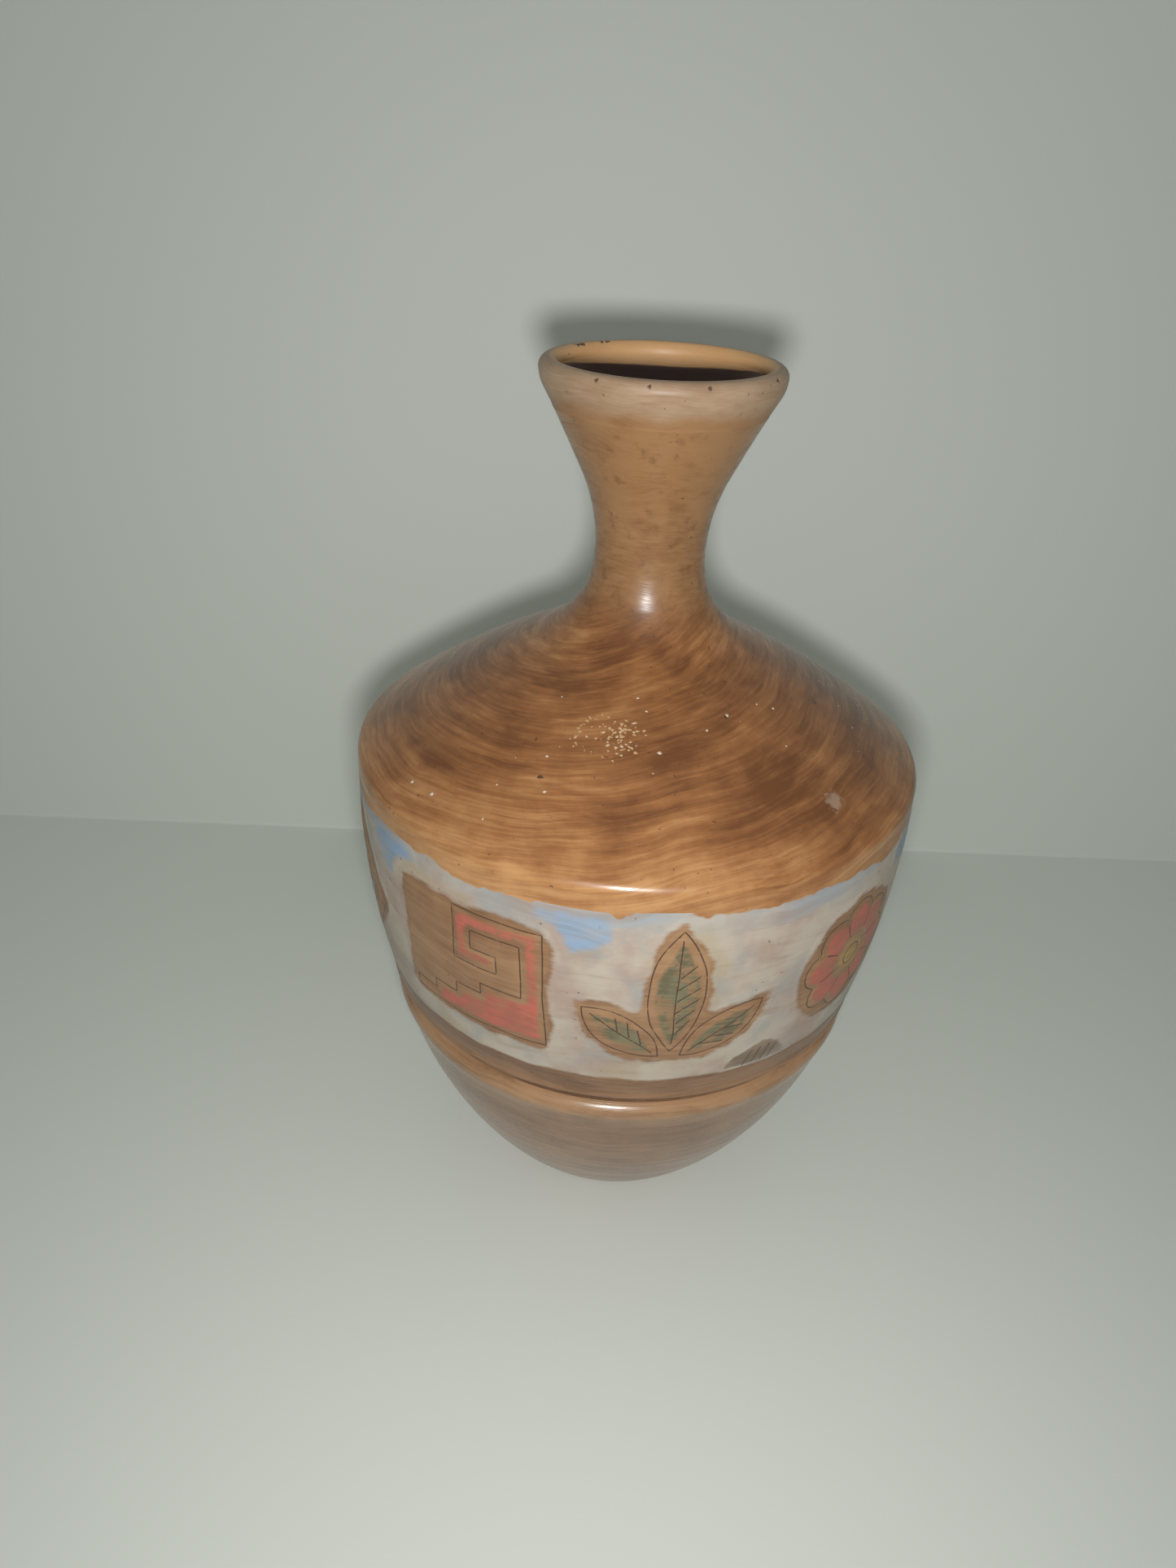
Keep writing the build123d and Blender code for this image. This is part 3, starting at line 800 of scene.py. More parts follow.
# ---- Halos of the frieze ----
# Nine motifs go round the belt, each on a halo of thin tan-brown slip brushed out past its outline. The
# outlines are cut through the halo with a point before the fills are laid in, so they fire dark.
PLACE_STEP = 40.0
FIRST_PLACE = -72.0
FRIEZE_CENTRE = 117.5
PAINT_MARGIN = 0.6
HALO = 3.6
HALO_LIFT = 0.11
HALO_WOBBLE = 0.8
CUT_WOBBLE = 0.22
FEATHER = 0.9
PAINT_SINK = 0.14
LINE_REACH = 0.36
LINE_DEPTH = 0.10
PAINT_PROUD = 0.015
NET_SPACING = 2.0
FRET_STEP = 4.9
LOZENGE = (19, 24)
FLOWER_RADIUS = 19
SCROLL_RADIUS = 19.0
SUN_RADIUS = 21.0
SCROLL_FOOT = (40, 6)
FOOT_DROP = (0, -17)
LEAVES = {
    "centre_leaf": (42, 15, 0, (0, -17)),
    "left_leaf": (27, 11.5, -50, (-3, -19)),
    "right_leaf": (27, 11.5, 50, (3, -19)),
}
HALO_TONES = ((0.385, 0.220, 0.110, 1), (0.285, 0.148, 0.070, 1), (0.175, 0.082, 0.038, 1))
INCISED = (0.070, 0.030, 0.019, 1)


def unsteady(points, amount, seed=0.0):
    """A line as an unsteady hand draws it: pushed about by slow waves of a few millimetres."""
    x, y = np.array(points, float).T
    waves = [(0.21, 0.12, 1.1), (-0.15, 0.31, 2.3), (0.41, 0.23, 0.4), (-0.27, 0.66, 5.2)]
    shares = (0.40, 0.30, 0.20, 0.10)
    push_x = sum(s * np.sin(a * x + b * y + c + seed) for s, (a, b, c) in zip(shares, waves))
    push_y = sum(s * np.sin(b * x - a * y + c * 2 + seed * 1.7) for s, (a, b, c) in zip(shares, waves))
    return np.stack([x + amount * push_x * 1.6, y + amount * push_y * 1.6], 1)


def along_sides(corners, step=1.0):
    """Points along the straight sides of a closed shape."""
    points = []
    for (ax, ay), (bx, by) in zip(corners, corners[1:] + corners[:1]):
        count = max(1, round(hypot(bx - ax, by - ay) / step))
        points += [(ax + (bx - ax) * i / count, ay + (by - ay) * i / count) for i in range(count)]
    return np.array(points)


def ring(radius, middle=(0.0, 0.0), step=1.0):
    """Points round a circle."""
    turn = np.linspace(0, 2 * pi, max(16, round(2 * pi * radius / step)), endpoint=False)
    return np.stack([middle[0] + radius * np.cos(turn), middle[1] + radius * np.sin(turn)], 1)


def grown(points, amount):
    """A closed shape grown outwards, or shrunk where the amount is below nothing."""
    points = np.asarray(points, float)
    ahead, behind = np.roll(points, -1, 0), np.roll(points, 1, 0)
    run = ahead - behind
    turning = np.sign(np.sum(points[:, 0] * ahead[:, 1] - ahead[:, 0] * points[:, 1]))
    out = np.stack([run[:, 1], -run[:, 0]], 1) * turning
    return points + amount * out / np.maximum(np.linalg.norm(out, axis=1), 1e-6)[:, None]


def inside_of(shape, points):
    """Which points lie inside a closed shape."""
    shape, points = np.asarray(shape), np.asarray(points)
    (ax, ay), (bx, by) = shape.T, np.roll(shape, -1, 0).T
    x, y = points[:, 0][:, None], points[:, 1][:, None]
    crosses = (ay > y) != (by > y)
    drop = np.where(crosses, by - ay, 1.0)
    return (np.sum(crosses & (x < (bx - ax) * (y - ay) / drop + ax), axis=1) % 2).astype(bool)


def outer_lines(shapes):
    """The outline that several overlapping shapes make together, as open lines."""
    lines = []
    for index, shape in enumerate(shapes):
        others = [other for j, other in enumerate(shapes) if j != index]
        closed = np.vstack([shape, shape[:1]])
        hidden = np.zeros(len(closed), bool)
        for other in others:
            hidden |= inside_of(other, closed)
        run = []
        for point, gone in zip(closed, hidden):
            if gone:
                lines.append(run)
                run = []
            else:
                run.append(point)
        lines.append(run)
    return [np.array(run) for run in lines if len(run) > 2]


def beside(line, amount):
    """A line moved to its left by an amount."""
    run = np.gradient(line, axis=0)
    side = np.stack([-run[:, 1], run[:, 0]], 1)
    return line + amount * side / np.maximum(np.linalg.norm(side, axis=1), 1e-6)[:, None]


def distance_to(points, starts, ends):
    """How far each point is from the nearest of many straight pieces of line; far where there are none."""
    nearest = np.full(len(points), 99.0)
    if len(starts) == 0:
        return nearest
    for first in range(0, len(points), 2000):
        block = points[first:first + 2000, None, :]
        run = (ends - starts)[None]
        share = np.sum((block - starts) * run, -1) / np.maximum(np.sum(run * run, -1), 1e-9)
        gap = block - (starts + np.clip(share, 0, 1)[..., None] * run)
        nearest[first:first + 2000] = np.sqrt(np.min(np.sum(gap * gap, -1), axis=1))
    return nearest


def on_belt(flat, degrees_round, lift):
    """Places flat points, x to the right and y up, on the belt's ground, a lift above it."""
    height = FRIEZE_CENTRE + flat[:, 1]
    (centre_r, centre_z), size = BELT_ARC
    radius = centre_r + np.sqrt(size ** 2 - (height - centre_z) ** 2) + COAT + lift
    turn = radians(degrees_round)
    angle = turn + np.arcsin(np.clip(flat[:, 0] / radius, -1, 1))
    radius = radius + turning_marks(angle, height)
    return np.stack([radius * np.sin(angle), -radius * np.cos(angle), height], 1)


def paint_net(shapes, without, lines):
    """Flat points and triangles that fill closed shapes outside others, with edges along incised lines."""
    low, high = (limit - FRIEZE_CENTRE for limit in (GROUND_LOW + PAINT_MARGIN, GROUND_HIGH - PAINT_MARGIN))
    corners, edges = [], []

    def draw(points, closed):
        first, count = len(corners), len(points)
        corners.extend(points)
        edges.extend((first + i, first + i + 1) for i in range(count - 1))
        if closed:
            edges.append((first + count - 1, first))

    for shape in [*shapes, *without]:
        draw(shape, True)
    everything = np.vstack(shapes)
    (left, bottom), (right, top) = everything.min(0) - 1, everything.max(0) + 1
    for limit in (low, high):
        if bottom < limit < top:
            across = np.arange(left, right + 1, 1.2)
            draw(np.stack([across, np.full_like(across, limit)], 1), False)
    for line in lines:
        for side in (-LINE_REACH, 0.0, LINE_REACH):
            draw(beside(line, side), False)
    for shape in shapes:
        corners.extend(grown(shape, -FEATHER))
    columns, rows = np.meshgrid(np.arange(left, right, NET_SPACING), np.arange(bottom, top, NET_SPACING))
    columns = columns + (np.arange(rows.shape[0]) % 2)[:, None] * NET_SPACING / 2
    corners.extend(np.stack([columns.ravel(), rows.ravel()], 1))
    net = delaunay_2d_cdt([Vector(p) for p in corners], edges, [], 0, 1e-3, False)
    flat = np.array([tuple(p) for p in net[0]])
    triangles = np.array([face for face in net[2] if len(face) == 3])
    middles = flat[triangles].mean(1)
    kept = np.zeros(len(triangles), bool)
    for shape in shapes:
        kept |= inside_of(shape, middles)
    for shape in without:
        kept &= ~inside_of(shape, middles)
    kept &= (middles[:, 1] > low) & (middles[:, 1] < high)
    used, triangles = np.unique(triangles[kept], return_inverse=True)
    return flat[used], triangles.reshape(-1, 3)


def free_sides(triangles, count):
    """The sides that belong to one triangle only, which make the rim."""
    sides = np.vstack([triangles[:, [0, 1]], triangles[:, [1, 2]], triangles[:, [2, 0]]])
    keys, backwards = sides[:, 0] * count + sides[:, 1], sides[:, 1] * count + sides[:, 0]
    return sides[~np.isin(backwards, keys)]


def lay_paint(name, degrees_round, shapes, lines, lift, material, without=(), cut=LINE_DEPTH):
    """A layer of slip inside closed shapes and outside others, with lines incised in it."""
    flat, triangles = paint_net(shapes, without, lines)
    count = len(flat)
    rim = free_sides(triangles, count)
    edge = distance_to(flat, flat[rim[:, 0]], flat[rim[:, 1]])
    starts, ends = (np.vstack([line[cut_off] for line in lines]) if lines else np.zeros((0, 2))
                    for cut_off in (slice(None, -1), slice(1, None)))
    incised = np.clip(1 - distance_to(flat, starts, ends) / LINE_REACH, 0, 1)
    rise = lift * np.clip(edge / FEATHER, 0, 1) + PAINT_PROUD - cut * incised
    face_up = on_belt(flat, degrees_round, rise)
    face_down = on_belt(flat, degrees_round, np.full(count, -PAINT_SINK))
    faces = triangles.tolist() + (triangles[:, ::-1] + count).tolist()
    faces += [(int(b), int(a), int(a) + count, int(b) + count) for a, b in rim]
    marks = {"edge": np.tile(edge, 2), "incised": np.tile(incised, 2)}
    finish_piece(name, np.vstack([face_up, face_down]), faces, material, [name], marks)


def make_ragged_edge():
    """Where a brushed layer covers what lies under it: fully inside, ragged and thin at its edge."""
    inputs = {"Edge": 1.0, "Ragged": 0.8, "Soft": 0.7, "Seed": 0.0}
    tree, given, out = open_group("Ragged edge", inputs, ["Cover"])
    bristles = wheel_lines(tree, 7.0, 0.8, 2.0, Seed=given["Seed"])
    clumps = mottle(tree, place_in_mm(tree), 0.20, 3.0)
    clumps = reckon(tree, "MULTIPLY", clumps, 1.6)
    uneven = reckon(tree, "ADD", reckon(tree, "MULTIPLY", bristles, 0.9), clumps)
    pulled = reckon(tree, "MULTIPLY", reckon(tree, "SUBTRACT", uneven, 1.05), given["Ragged"])
    within = reckon(tree, "SUBTRACT", given["Edge"], reckon(tree, "MULTIPLY", given["Soft"], 0.25))
    reach = reckon(tree, "DIVIDE", reckon(tree, "SUBTRACT", within, pulled), given["Soft"])
    feed(tree, out["Cover"], ease(tree, reach, 0.0, 1.0))
    return tree


ragged_edge = make_ragged_edge()


def make_halo_brown():
    """The halos' thin brown slip, with the white ground showing at its edges."""
    tree, given, out = open_group("Halo slip", {"Edge": 9.0}, ["Colour", "Height"])
    slip = brush(tree, HALO_TONES, 0.46, 1.05, Hairs=0.35, Seed=33.0)
    ground = use_group(tree, white_ground)
    cover = use_group(tree, ragged_edge, Edge=given["Edge"], Ragged=2.0, Soft=1.8)["Cover"]
    pooled = reckon(tree, "MULTIPLY", ease(tree, given["Edge"], 3.4, 1.2, 0.0, 0.55), cover)
    colour = lay_over(tree, pooled, slip["Colour"], HALO_TONES[2])
    feed(tree, out["Colour"], lay_over(tree, cover, ground["Colour"], colour))
    feed(tree, out["Height"], slip["Height"])
    return tree


halo_brown = make_halo_brown()


def incised_share(tree):
    """How much an incised line darkens a point, with small breaks in the line."""
    breaks = ease(tree, mottle(tree, place_in_mm(tree), 0.5, 2.0), 0.30, 0.45, 0.45, 0.95)
    return reckon(tree, "MULTIPLY", ease(tree, kept_on_mesh(tree, "incised"), 0.25, 0.7), breaks)


def make_halo_finish():
    """Brown halo slip with its incised lines."""
    material, tree, shader = new_finish("halo_brown", 0.12, 0.32)
    slip = use_group(tree, halo_brown, Edge=kept_on_mesh(tree, "edge"))
    colour = lay_over(tree, incised_share(tree), slip["Colour"], INCISED)
    dress(tree, shader, colour, slip["Height"], (0.40, 0.56), slip["Height"], 0.03)
    return material


halo_finish = make_halo_finish()


def diamond(half_width, half_height):
    """A lozenge that stands on its point."""
    return along_sides([(half_width, 0), (0, half_height), (-half_width, 0), (0, -half_height)])


def leaning(points, lean, foot):
    """Points turned clockwise by degrees about the origin and moved to a foot."""
    turn = Matrix.Rotation(radians(-lean), 2)
    return [tuple(turn @ Vector(p) + Vector(foot)) for p in points]


def leaf(length, width, lean, foot, grow=0.0):
    """A pointed leaf that leans from its foot."""
    half, tip, tail = width / 2 + grow, length + 1.6 * grow, -1.6 * grow
    left = bow((0, tail), (-half, length / 2), (0, tip), 1.0)
    right = bow((0, tip), (half, length / 2), (0, tail), 1.0)
    return np.array(leaning(left + right[1:-1], lean, foot))


def fret():
    """A stair that runs into a squared hook, on a grid of nine steps by eight."""
    outside = [(0, 0), (9, 0), (9, 8)]
    hook = [(3.6, 8), (3.6, 4.4), (6.4, 4.4), (6.4, 5.6), (4.8, 5.6), (4.8, 6.8), (7.8, 6.8)]
    stair = [(7.8, 3.2), (5.2, 3.2), (5.2, 2.4), (3.5, 2.4), (3.5, 1.6), (1.8, 1.6), (1.8, 0.8), (0, 0.8)]
    return along_sides([((x - 4.5) * FRET_STEP, (y - 4) * FRET_STEP) for x, y in outside + hook + stair], 0.8)


def soft_box(width, height, corner):
    """A rectangle with rounded corners."""
    points = []
    for quarter, (x, y) in enumerate([(1, 1), (-1, 1), (-1, -1), (1, -1)]):
        middle = np.array([x * (width / 2 - corner), y * (height / 2 - corner)])
        for turn in ((quarter + i / 4) * pi / 2 for i in range(5)):
            points.append(tuple(middle + corner * np.array([cos(turn), sin(turn)])))
    return along_sides(points)


def rosette(reach=12.5, petal=6.2, petals=8):
    """Round petals about a disc."""
    turns = [i * 2 * pi / petals for i in range(petals)]
    return [ring(reach)] + [ring(petal, (reach * cos(a), reach * sin(a))) for a in turns]


def sun_rays(rays=12, inner=14.5, outer=SUN_RADIUS):
    """A ring of pointed rays."""
    tips = [(outer if i % 2 else inner, i * pi / rays) for i in range(2 * rays)]
    return along_sides([(r * cos(a), r * sin(a)) for r, a in tips])


def scroll():
    """Three half rings that shrink as they turn, drawn as one band, and the foot that it stands on."""
    band, shrink, outer, middle = 5.5, 4.5, SCROLL_RADIUS, 0.0
    outside, inside = [], []
    for start, way in ((pi, 1), (0, -1), (pi, 1)):
        for angle in np.linspace(start, start - pi, 24):
            outside.append((middle + outer * cos(angle), outer * sin(angle)))
            inside.append((middle + (outer - band) * cos(angle), (outer - band) * sin(angle)))
        middle += shrink * way
        outer -= shrink
    return [np.array(outside + inside[::-1]), soft_box(*SCROLL_FOOT, 0.6) + FOOT_DROP]


leaf_shapes = {part: leaf(*sizes) for part, sizes in LEAVES.items()}
places = ["lozenge", "front_fret", "front_sprig", "front_flower", "wave", "sun"]
places += ["back_fret", "back_sprig", "back_flower"]
place_of = {name: FIRST_PLACE + PLACE_STEP * index for index, name in enumerate(places)}
half_wide, half_high = LOZENGE[0] + HALO * 1.25, LOZENGE[1] + HALO
scroll_foot = soft_box(*(side + 2 * HALO for side in SCROLL_FOOT), HALO) + FOOT_DROP
halo_shapes = {
    "lozenge": [along_sides([(half_wide, 0), (2, half_high), (-2, half_high),
                             (-half_wide, 0), (-2, -half_high), (2, -half_high)])],
    "front_fret": [soft_box(9 * FRET_STEP + 2 * HALO, 8 * FRET_STEP + 2 * HALO, 2 * HALO)],
    "front_sprig": [leaf(*sizes, grow=HALO) for sizes in LEAVES.values()],
    "front_flower": [ring(FLOWER_RADIUS + HALO)],
    "wave": [ring(SCROLL_RADIUS + HALO), scroll_foot],
    "sun": [ring(SUN_RADIUS + HALO)],
}
motif_shapes = {
    "lozenge": [diamond(*LOZENGE)],
    "front_fret": [fret()],
    "front_sprig": list(leaf_shapes.values()),
    "front_flower": rosette(),
    "wave": scroll(),
    "sun": [sun_rays()],
}
for name, turn in place_of.items():
    kind = name.replace("back_", "front_")
    field = [unsteady(shape, HALO_WOBBLE, turn) for shape in halo_shapes[kind]]
    cuts = [unsteady(line, CUT_WOBBLE, turn + 1) for line in outer_lines(motif_shapes[kind])]
    lay_paint(f"{name}_halo", turn, field, cuts, HALO_LIFT, halo_finish)


# ---- Fills of the frieze ----
# Coloured slips are laid inside the incised outlines with a small brush, a little short of the line, and
# rubbed. Their edges are thin, so the brown of the halo shows round each one. Veins and inner rings are
# incised through them.
FILL_LIFT = 0.26
FILL_INSET = 0.8
FILL_CUT = 0.12
FILL_WOBBLE = 0.3
BARE_WOBBLE = 0.2
LOZENGE_BAND = (12, 15.2)
LOZENGE_LINE = (9.4, 12)
LOZENGE_EYE = (5.5, 7)
FLOWER_EYE = 6.5
FLOWER_LINE = 3.2
SUN_LINE = 11.4
SUN_DISC = 9
SUN_DISC_LINE = 5
FILLS = {
    "coral": ((0.540, 0.128, 0.090, 1), (0.400, 0.110, 0.072, 1), 0.50),
    "olive": ((0.190, 0.172, 0.092, 1), (0.128, 0.108, 0.056, 1), 0.25),
    "ochre": ((0.450, 0.280, 0.078, 1), (0.320, 0.185, 0.062, 1), 0.55),
    "grey": ((0.420, 0.385, 0.360, 1), (0.300, 0.262, 0.240, 1), 0.55),
    "pink": ((0.330, 0.160, 0.122, 1), (0.230, 0.105, 0.078, 1), 0.55),
}


def make_fill(name, light, dark, wear):
    """A thick coloured slip over the halo's brown; where it is worn, the wear is the share that stays."""
    material, tree, shader = new_finish(name, 0.12, 0.32)
    where = place_in_mm(tree)
    strokes = wheel_lines(tree, 12.0, 0.8, 2.5, Seed=41.0)
    cloud = mottle(tree, where, 0.11, 4.0, 0.6)
    tone = reckon(tree, "ADD", reckon(tree, "MULTIPLY", strokes, 0.45), reckon(tree, "MULTIPLY", cloud, 0.55))
    colour = lay_over(tree, ease(tree, tone, 0.42, 0.58), dark, light)
    halo = use_group(tree, halo_brown, Edge=9.0)
    edge = kept_on_mesh(tree, "edge")
    cover = use_group(tree, ragged_edge, Edge=edge, Ragged=1.3, Soft=1.4, Seed=7.0)["Cover"]
    worn = ease(tree, mottle(tree, where, 0.24, 5.0, 0.7), 0.48, 0.62, 1.0, wear)
    worn = reckon(tree, "MULTIPLY", worn, ease(tree, strokes, 0.50, 0.68, 1.0, 0.65))
    colour = lay_over(tree, reckon(tree, "MULTIPLY", cover, worn), halo["Colour"], colour)
    feed(tree, shader.inputs["Base Color"], lay_over(tree, incised_share(tree), colour, INCISED))
    feed(tree, shader.inputs["Roughness"], ease(tree, tone, 0.35, 0.65, 0.40, 0.54))
    add_relief(tree, shader, strokes, 0.02)
    return material


fill_finishes = {colour: make_fill(colour, *look) for colour, look in FILLS.items()}


def as_line(*points):
    """A freehand line through a few points."""
    dense = []
    for (ax, ay), (bx, by) in zip(points, points[1:]):
        count = max(2, round(hypot(bx - ax, by - ay) / 0.9))
        dense += [(ax + (bx - ax) * i / count, ay + (by - ay) * i / count) for i in range(count)]
    return np.array(dense + [points[-1]])


def closed_line(shape):
    """A closed shape as a line that ends where it began."""
    return np.vstack([shape, shape[:1]])


def leaf_veins(length, width, lean, foot):
    """A midrib and slanting veins on one side of it."""
    strokes = [[(0, 2.5), (0, length - 3)]]
    for start in range(7, round(length * 0.72), 4):
        reach = width * 0.40 * sin(pi * min(1.0, (start + 3) / length))
        strokes.append([(0.5, start), (reach, start + 4.5)])
    return [as_line(*leaning(stroke, lean, foot)) for stroke in strokes]


def petal_creases():
    """Short lines from the flower's eye out between its petals."""
    turns = (np.arange(8) + 0.5) * pi / 4
    return [as_line((7.6 * cos(a), 7.6 * sin(a)), (12.6 * cos(a), 12.6 * sin(a))) for a in turns]


def lay_fill(name, colour, shapes, lines=(), inset=FILL_INSET, without=()):
    """A fill of a motif, a little inside its outline."""
    turn = place_of[next(place for place in places if name.startswith(place))]
    field = [unsteady(grown(shape, -inset), FILL_WOBBLE, turn + 3) for shape in shapes]
    cuts = [unsteady(line, CUT_WOBBLE, turn + 1) for line in lines]
    bare = [unsteady(grown(shape, inset * 0.4), BARE_WOBBLE, turn + 5) for shape in without]
    lay_paint(name, turn, field, cuts, FILL_LIFT, fill_finishes[colour], bare, FILL_CUT)


band, band_line, eye = diamond(*LOZENGE_BAND), diamond(*LOZENGE_LINE), diamond(*LOZENGE_EYE)
lay_fill("lozenge_ochre", "ochre", [diamond(*LOZENGE)], without=[band])
lay_fill("lozenge_grey", "grey", [band], [closed_line(band_line)], inset=0.4, without=[eye])
lay_fill("lozenge_pink", "pink", [eye], inset=0.4)
flower_eye, eye_line = ring(FLOWER_EYE), closed_line(ring(FLOWER_LINE, step=0.8))
for side in ("front", "back"):
    lay_fill(f"{side}_fret_coral", "coral", [fret()], inset=0.5)
    for part, sizes in LEAVES.items():
        lay_fill(f"{side}_sprig_{part}", "olive", [leaf_shapes[part]], leaf_veins(*sizes))
    lay_fill(f"{side}_flower_petals", "coral", rosette(), petal_creases(), without=[flower_eye])
    lay_fill(f"{side}_flower_eye", "ochre", [flower_eye], [eye_line], inset=0.3)
lay_fill("wave_grey", "grey", scroll(), inset=0.6)
disc = ring(SUN_DISC)
lay_fill("sun_ochre", "ochre", [sun_rays()], [closed_line(ring(SUN_LINE))], without=[disc])
lay_fill("sun_pink", "pink", [disc], [closed_line(ring(SUN_DISC_LINE))], inset=0.3)


# ---- Sky patches and hills ----
# Thin blue slip is brushed down from the belt's upper edge in five of the gaps, and brown hills rise from
# its lower edge in the other four. The hills are hatched with a point.
SKY_GAPS = (0, 1, 3, 5, 7)
HILL_GAPS = (2, 4, 6, 8)
SKY_TONES = ((0.255, 0.370, 0.520, 1), (0.235, 0.310, 0.400, 1))
HILL_TONES = ((0.270, 0.190, 0.125, 1), (0.175, 0.115, 0.072, 1))
SKY_OVAL = (13, 9, (0, 24))
HILL_OVAL = (9, 12, (0, -30))
HATCH_STARTS = (-4.0, -1.2, 1.6, 4.2)
WASH_LIFT = 0.08
WASH_CUT = 0.07
WASH_WOBBLE = 1.4


def make_wash(name, light, dark, softness):
    """A thin wash over the white ground, fading out at its edge."""
    material, tree, shader = new_finish(name, 0.12, 0.35)
    strokes = wheel_lines(tree, 16.0, 1.4, 4.0, Seed=53.0)
    colour = lay_over(tree, ease(tree, strokes, 0.38, 0.62), dark, light)
    ground = use_group(tree, white_ground)
    edge = kept_on_mesh(tree, "edge")
    cover = use_group(tree, ragged_edge, Edge=edge, Ragged=1.6, Soft=softness, Seed=11.0)["Cover"]
    thin = ease(tree, mottle(tree, place_in_mm(tree), 0.10, 3.0), 0.40, 0.62, 0.95, 0.62)
    colour = lay_over(tree, reckon(tree, "MULTIPLY", cover, thin), ground["Colour"], colour)
    colour = lay_over(tree, incised_share(tree), colour, INCISED)
    dress(tree, shader, colour, strokes, (0.42, 0.58), strokes, 0.025)
    return material


sky_finish = make_wash("sky_blue", *SKY_TONES, 2.6)
hill_finish = make_wash("hill_brown", *HILL_TONES, 1.0)


def oval(half_width, half_height, middle):
    """A level oval about a middle."""
    return ring(1.0, step=0.08) * (half_width, half_height) + middle


def lay_between(name, gap, shape, lines, material):
    """A patch in the gap after a place, kept off the halos on either side."""
    turn = FIRST_PLACE + (gap + 0.5) * PLACE_STEP
    belt_radius = radius_on(BELT_ARC, FRIEZE_CENTRE) + COAT
    kept_off = []
    for place in (gap, (gap + 1) % len(places)):
        kind = places[place].replace("back_", "front_")
        halo_turn = FIRST_PLACE + place * PLACE_STEP
        aside = radians((halo_turn - turn + 180) % 360 - 180)
        for halo in halo_shapes[kind]:
            x, y = unsteady(halo, HALO_WOBBLE, halo_turn).T
            kept_off.append(np.stack([belt_radius * np.sin(aside + np.arcsin(x / belt_radius)), y], 1))
    field = [unsteady(shape, WASH_WOBBLE, turn)]
    lay_paint(name, turn, field, lines, WASH_LIFT, material, kept_off, WASH_CUT)


for number, gap in enumerate(SKY_GAPS):
    lay_between(f"sky_patch_{number + 1}", gap, oval(*SKY_OVAL), [], sky_finish)
for number, gap in enumerate(HILL_GAPS):
    hatching = [as_line((x, -28.5), (x + 1.5, -22.5 - 0.3 * abs(x))) for x in HATCH_STARTS]
    lay_between(f"hill_{number + 1}", gap, oval(*HILL_OVAL), hatching, hill_finish)


# ---- Slip crumbs on the shoulder ----
# Cream slip spattered on the shoulder after the stain, and dried there: a cluster of thin flakes in front,
# stray beads about it, and fine specks all round.
CRUMB_TONES = ((0.600, 0.500, 0.390, 1), (0.520, 0.320, 0.155, 1))
CRUMB_ROUGHNESS = 0.7
CRUMB_CLUSTER = (-7, 46.5)
CLUSTER_FLAKES = 70
STRAY_BEADS = 15
STRAY_TURN = (-60, 60)
STRAY_REACH = (35, 75)
FINE_SPECKS = 30
CRUMB_SINK = 0.10
CRUMB_SIDES = 9
CRUMB_STEPS = ((1.0, 0.0), (0.72, 0.20), (0.36, 0.26))


def make_crumb_finish():
    """Dry cream slip, warmer where the flakes are thin."""
    material, tree, shader = new_finish("crumb_cream")
    where = place_in_mm(tree)
    cloud = ease(tree, mottle(tree, where, 0.7, 2.0), 0.4, 0.6, -0.25, 0.25)
    pale = ease(tree, reckon(tree, "ADD", kept_on_mesh(tree, "fresh"), cloud), 0.0, 1.0)
    feed(tree, shader.inputs["Base Color"], lay_over(tree, pale, CRUMB_TONES[1], CRUMB_TONES[0]))
    feed(tree, shader.inputs["Roughness"], CRUMB_ROUGHNESS)
    add_relief(tree, shader, mottle(tree, where, 3.0, 2.0), 0.08)
    return material


def scatter_crumbs(rng):
    """Flakes and beads as (degrees from the front, distance from the axis, width)."""
    turn, reach = CRUMB_CLUSTER
    flakes = [(turn + rng.normal(0, 5.0), reach + rng.normal(0, 2.4), rng.uniform(0.3, 1.15))
              for _ in range(CLUSTER_FLAKES)]
    for a in np.arange(0.4, 4.4, 0.10):
        around, out = turn - 5 + 9 * cos(a), reach + 1 + 5.5 * sin(a)
        flakes.append((around + rng.normal(0, 0.8), out + rng.normal(0, 0.5), rng.uniform(0.3, 0.8)))
    beads = []
    for count, around, out, width in ((STRAY_BEADS, STRAY_TURN, STRAY_REACH, (0.5, 1.1)),
                                      (FINE_SPECKS, (-180, 180), (36, 76), (0.2, 0.45))):
        beads += [(rng.uniform(*around), rng.uniform(*out), rng.uniform(*width)) for _ in range(count)]
    return flakes, beads


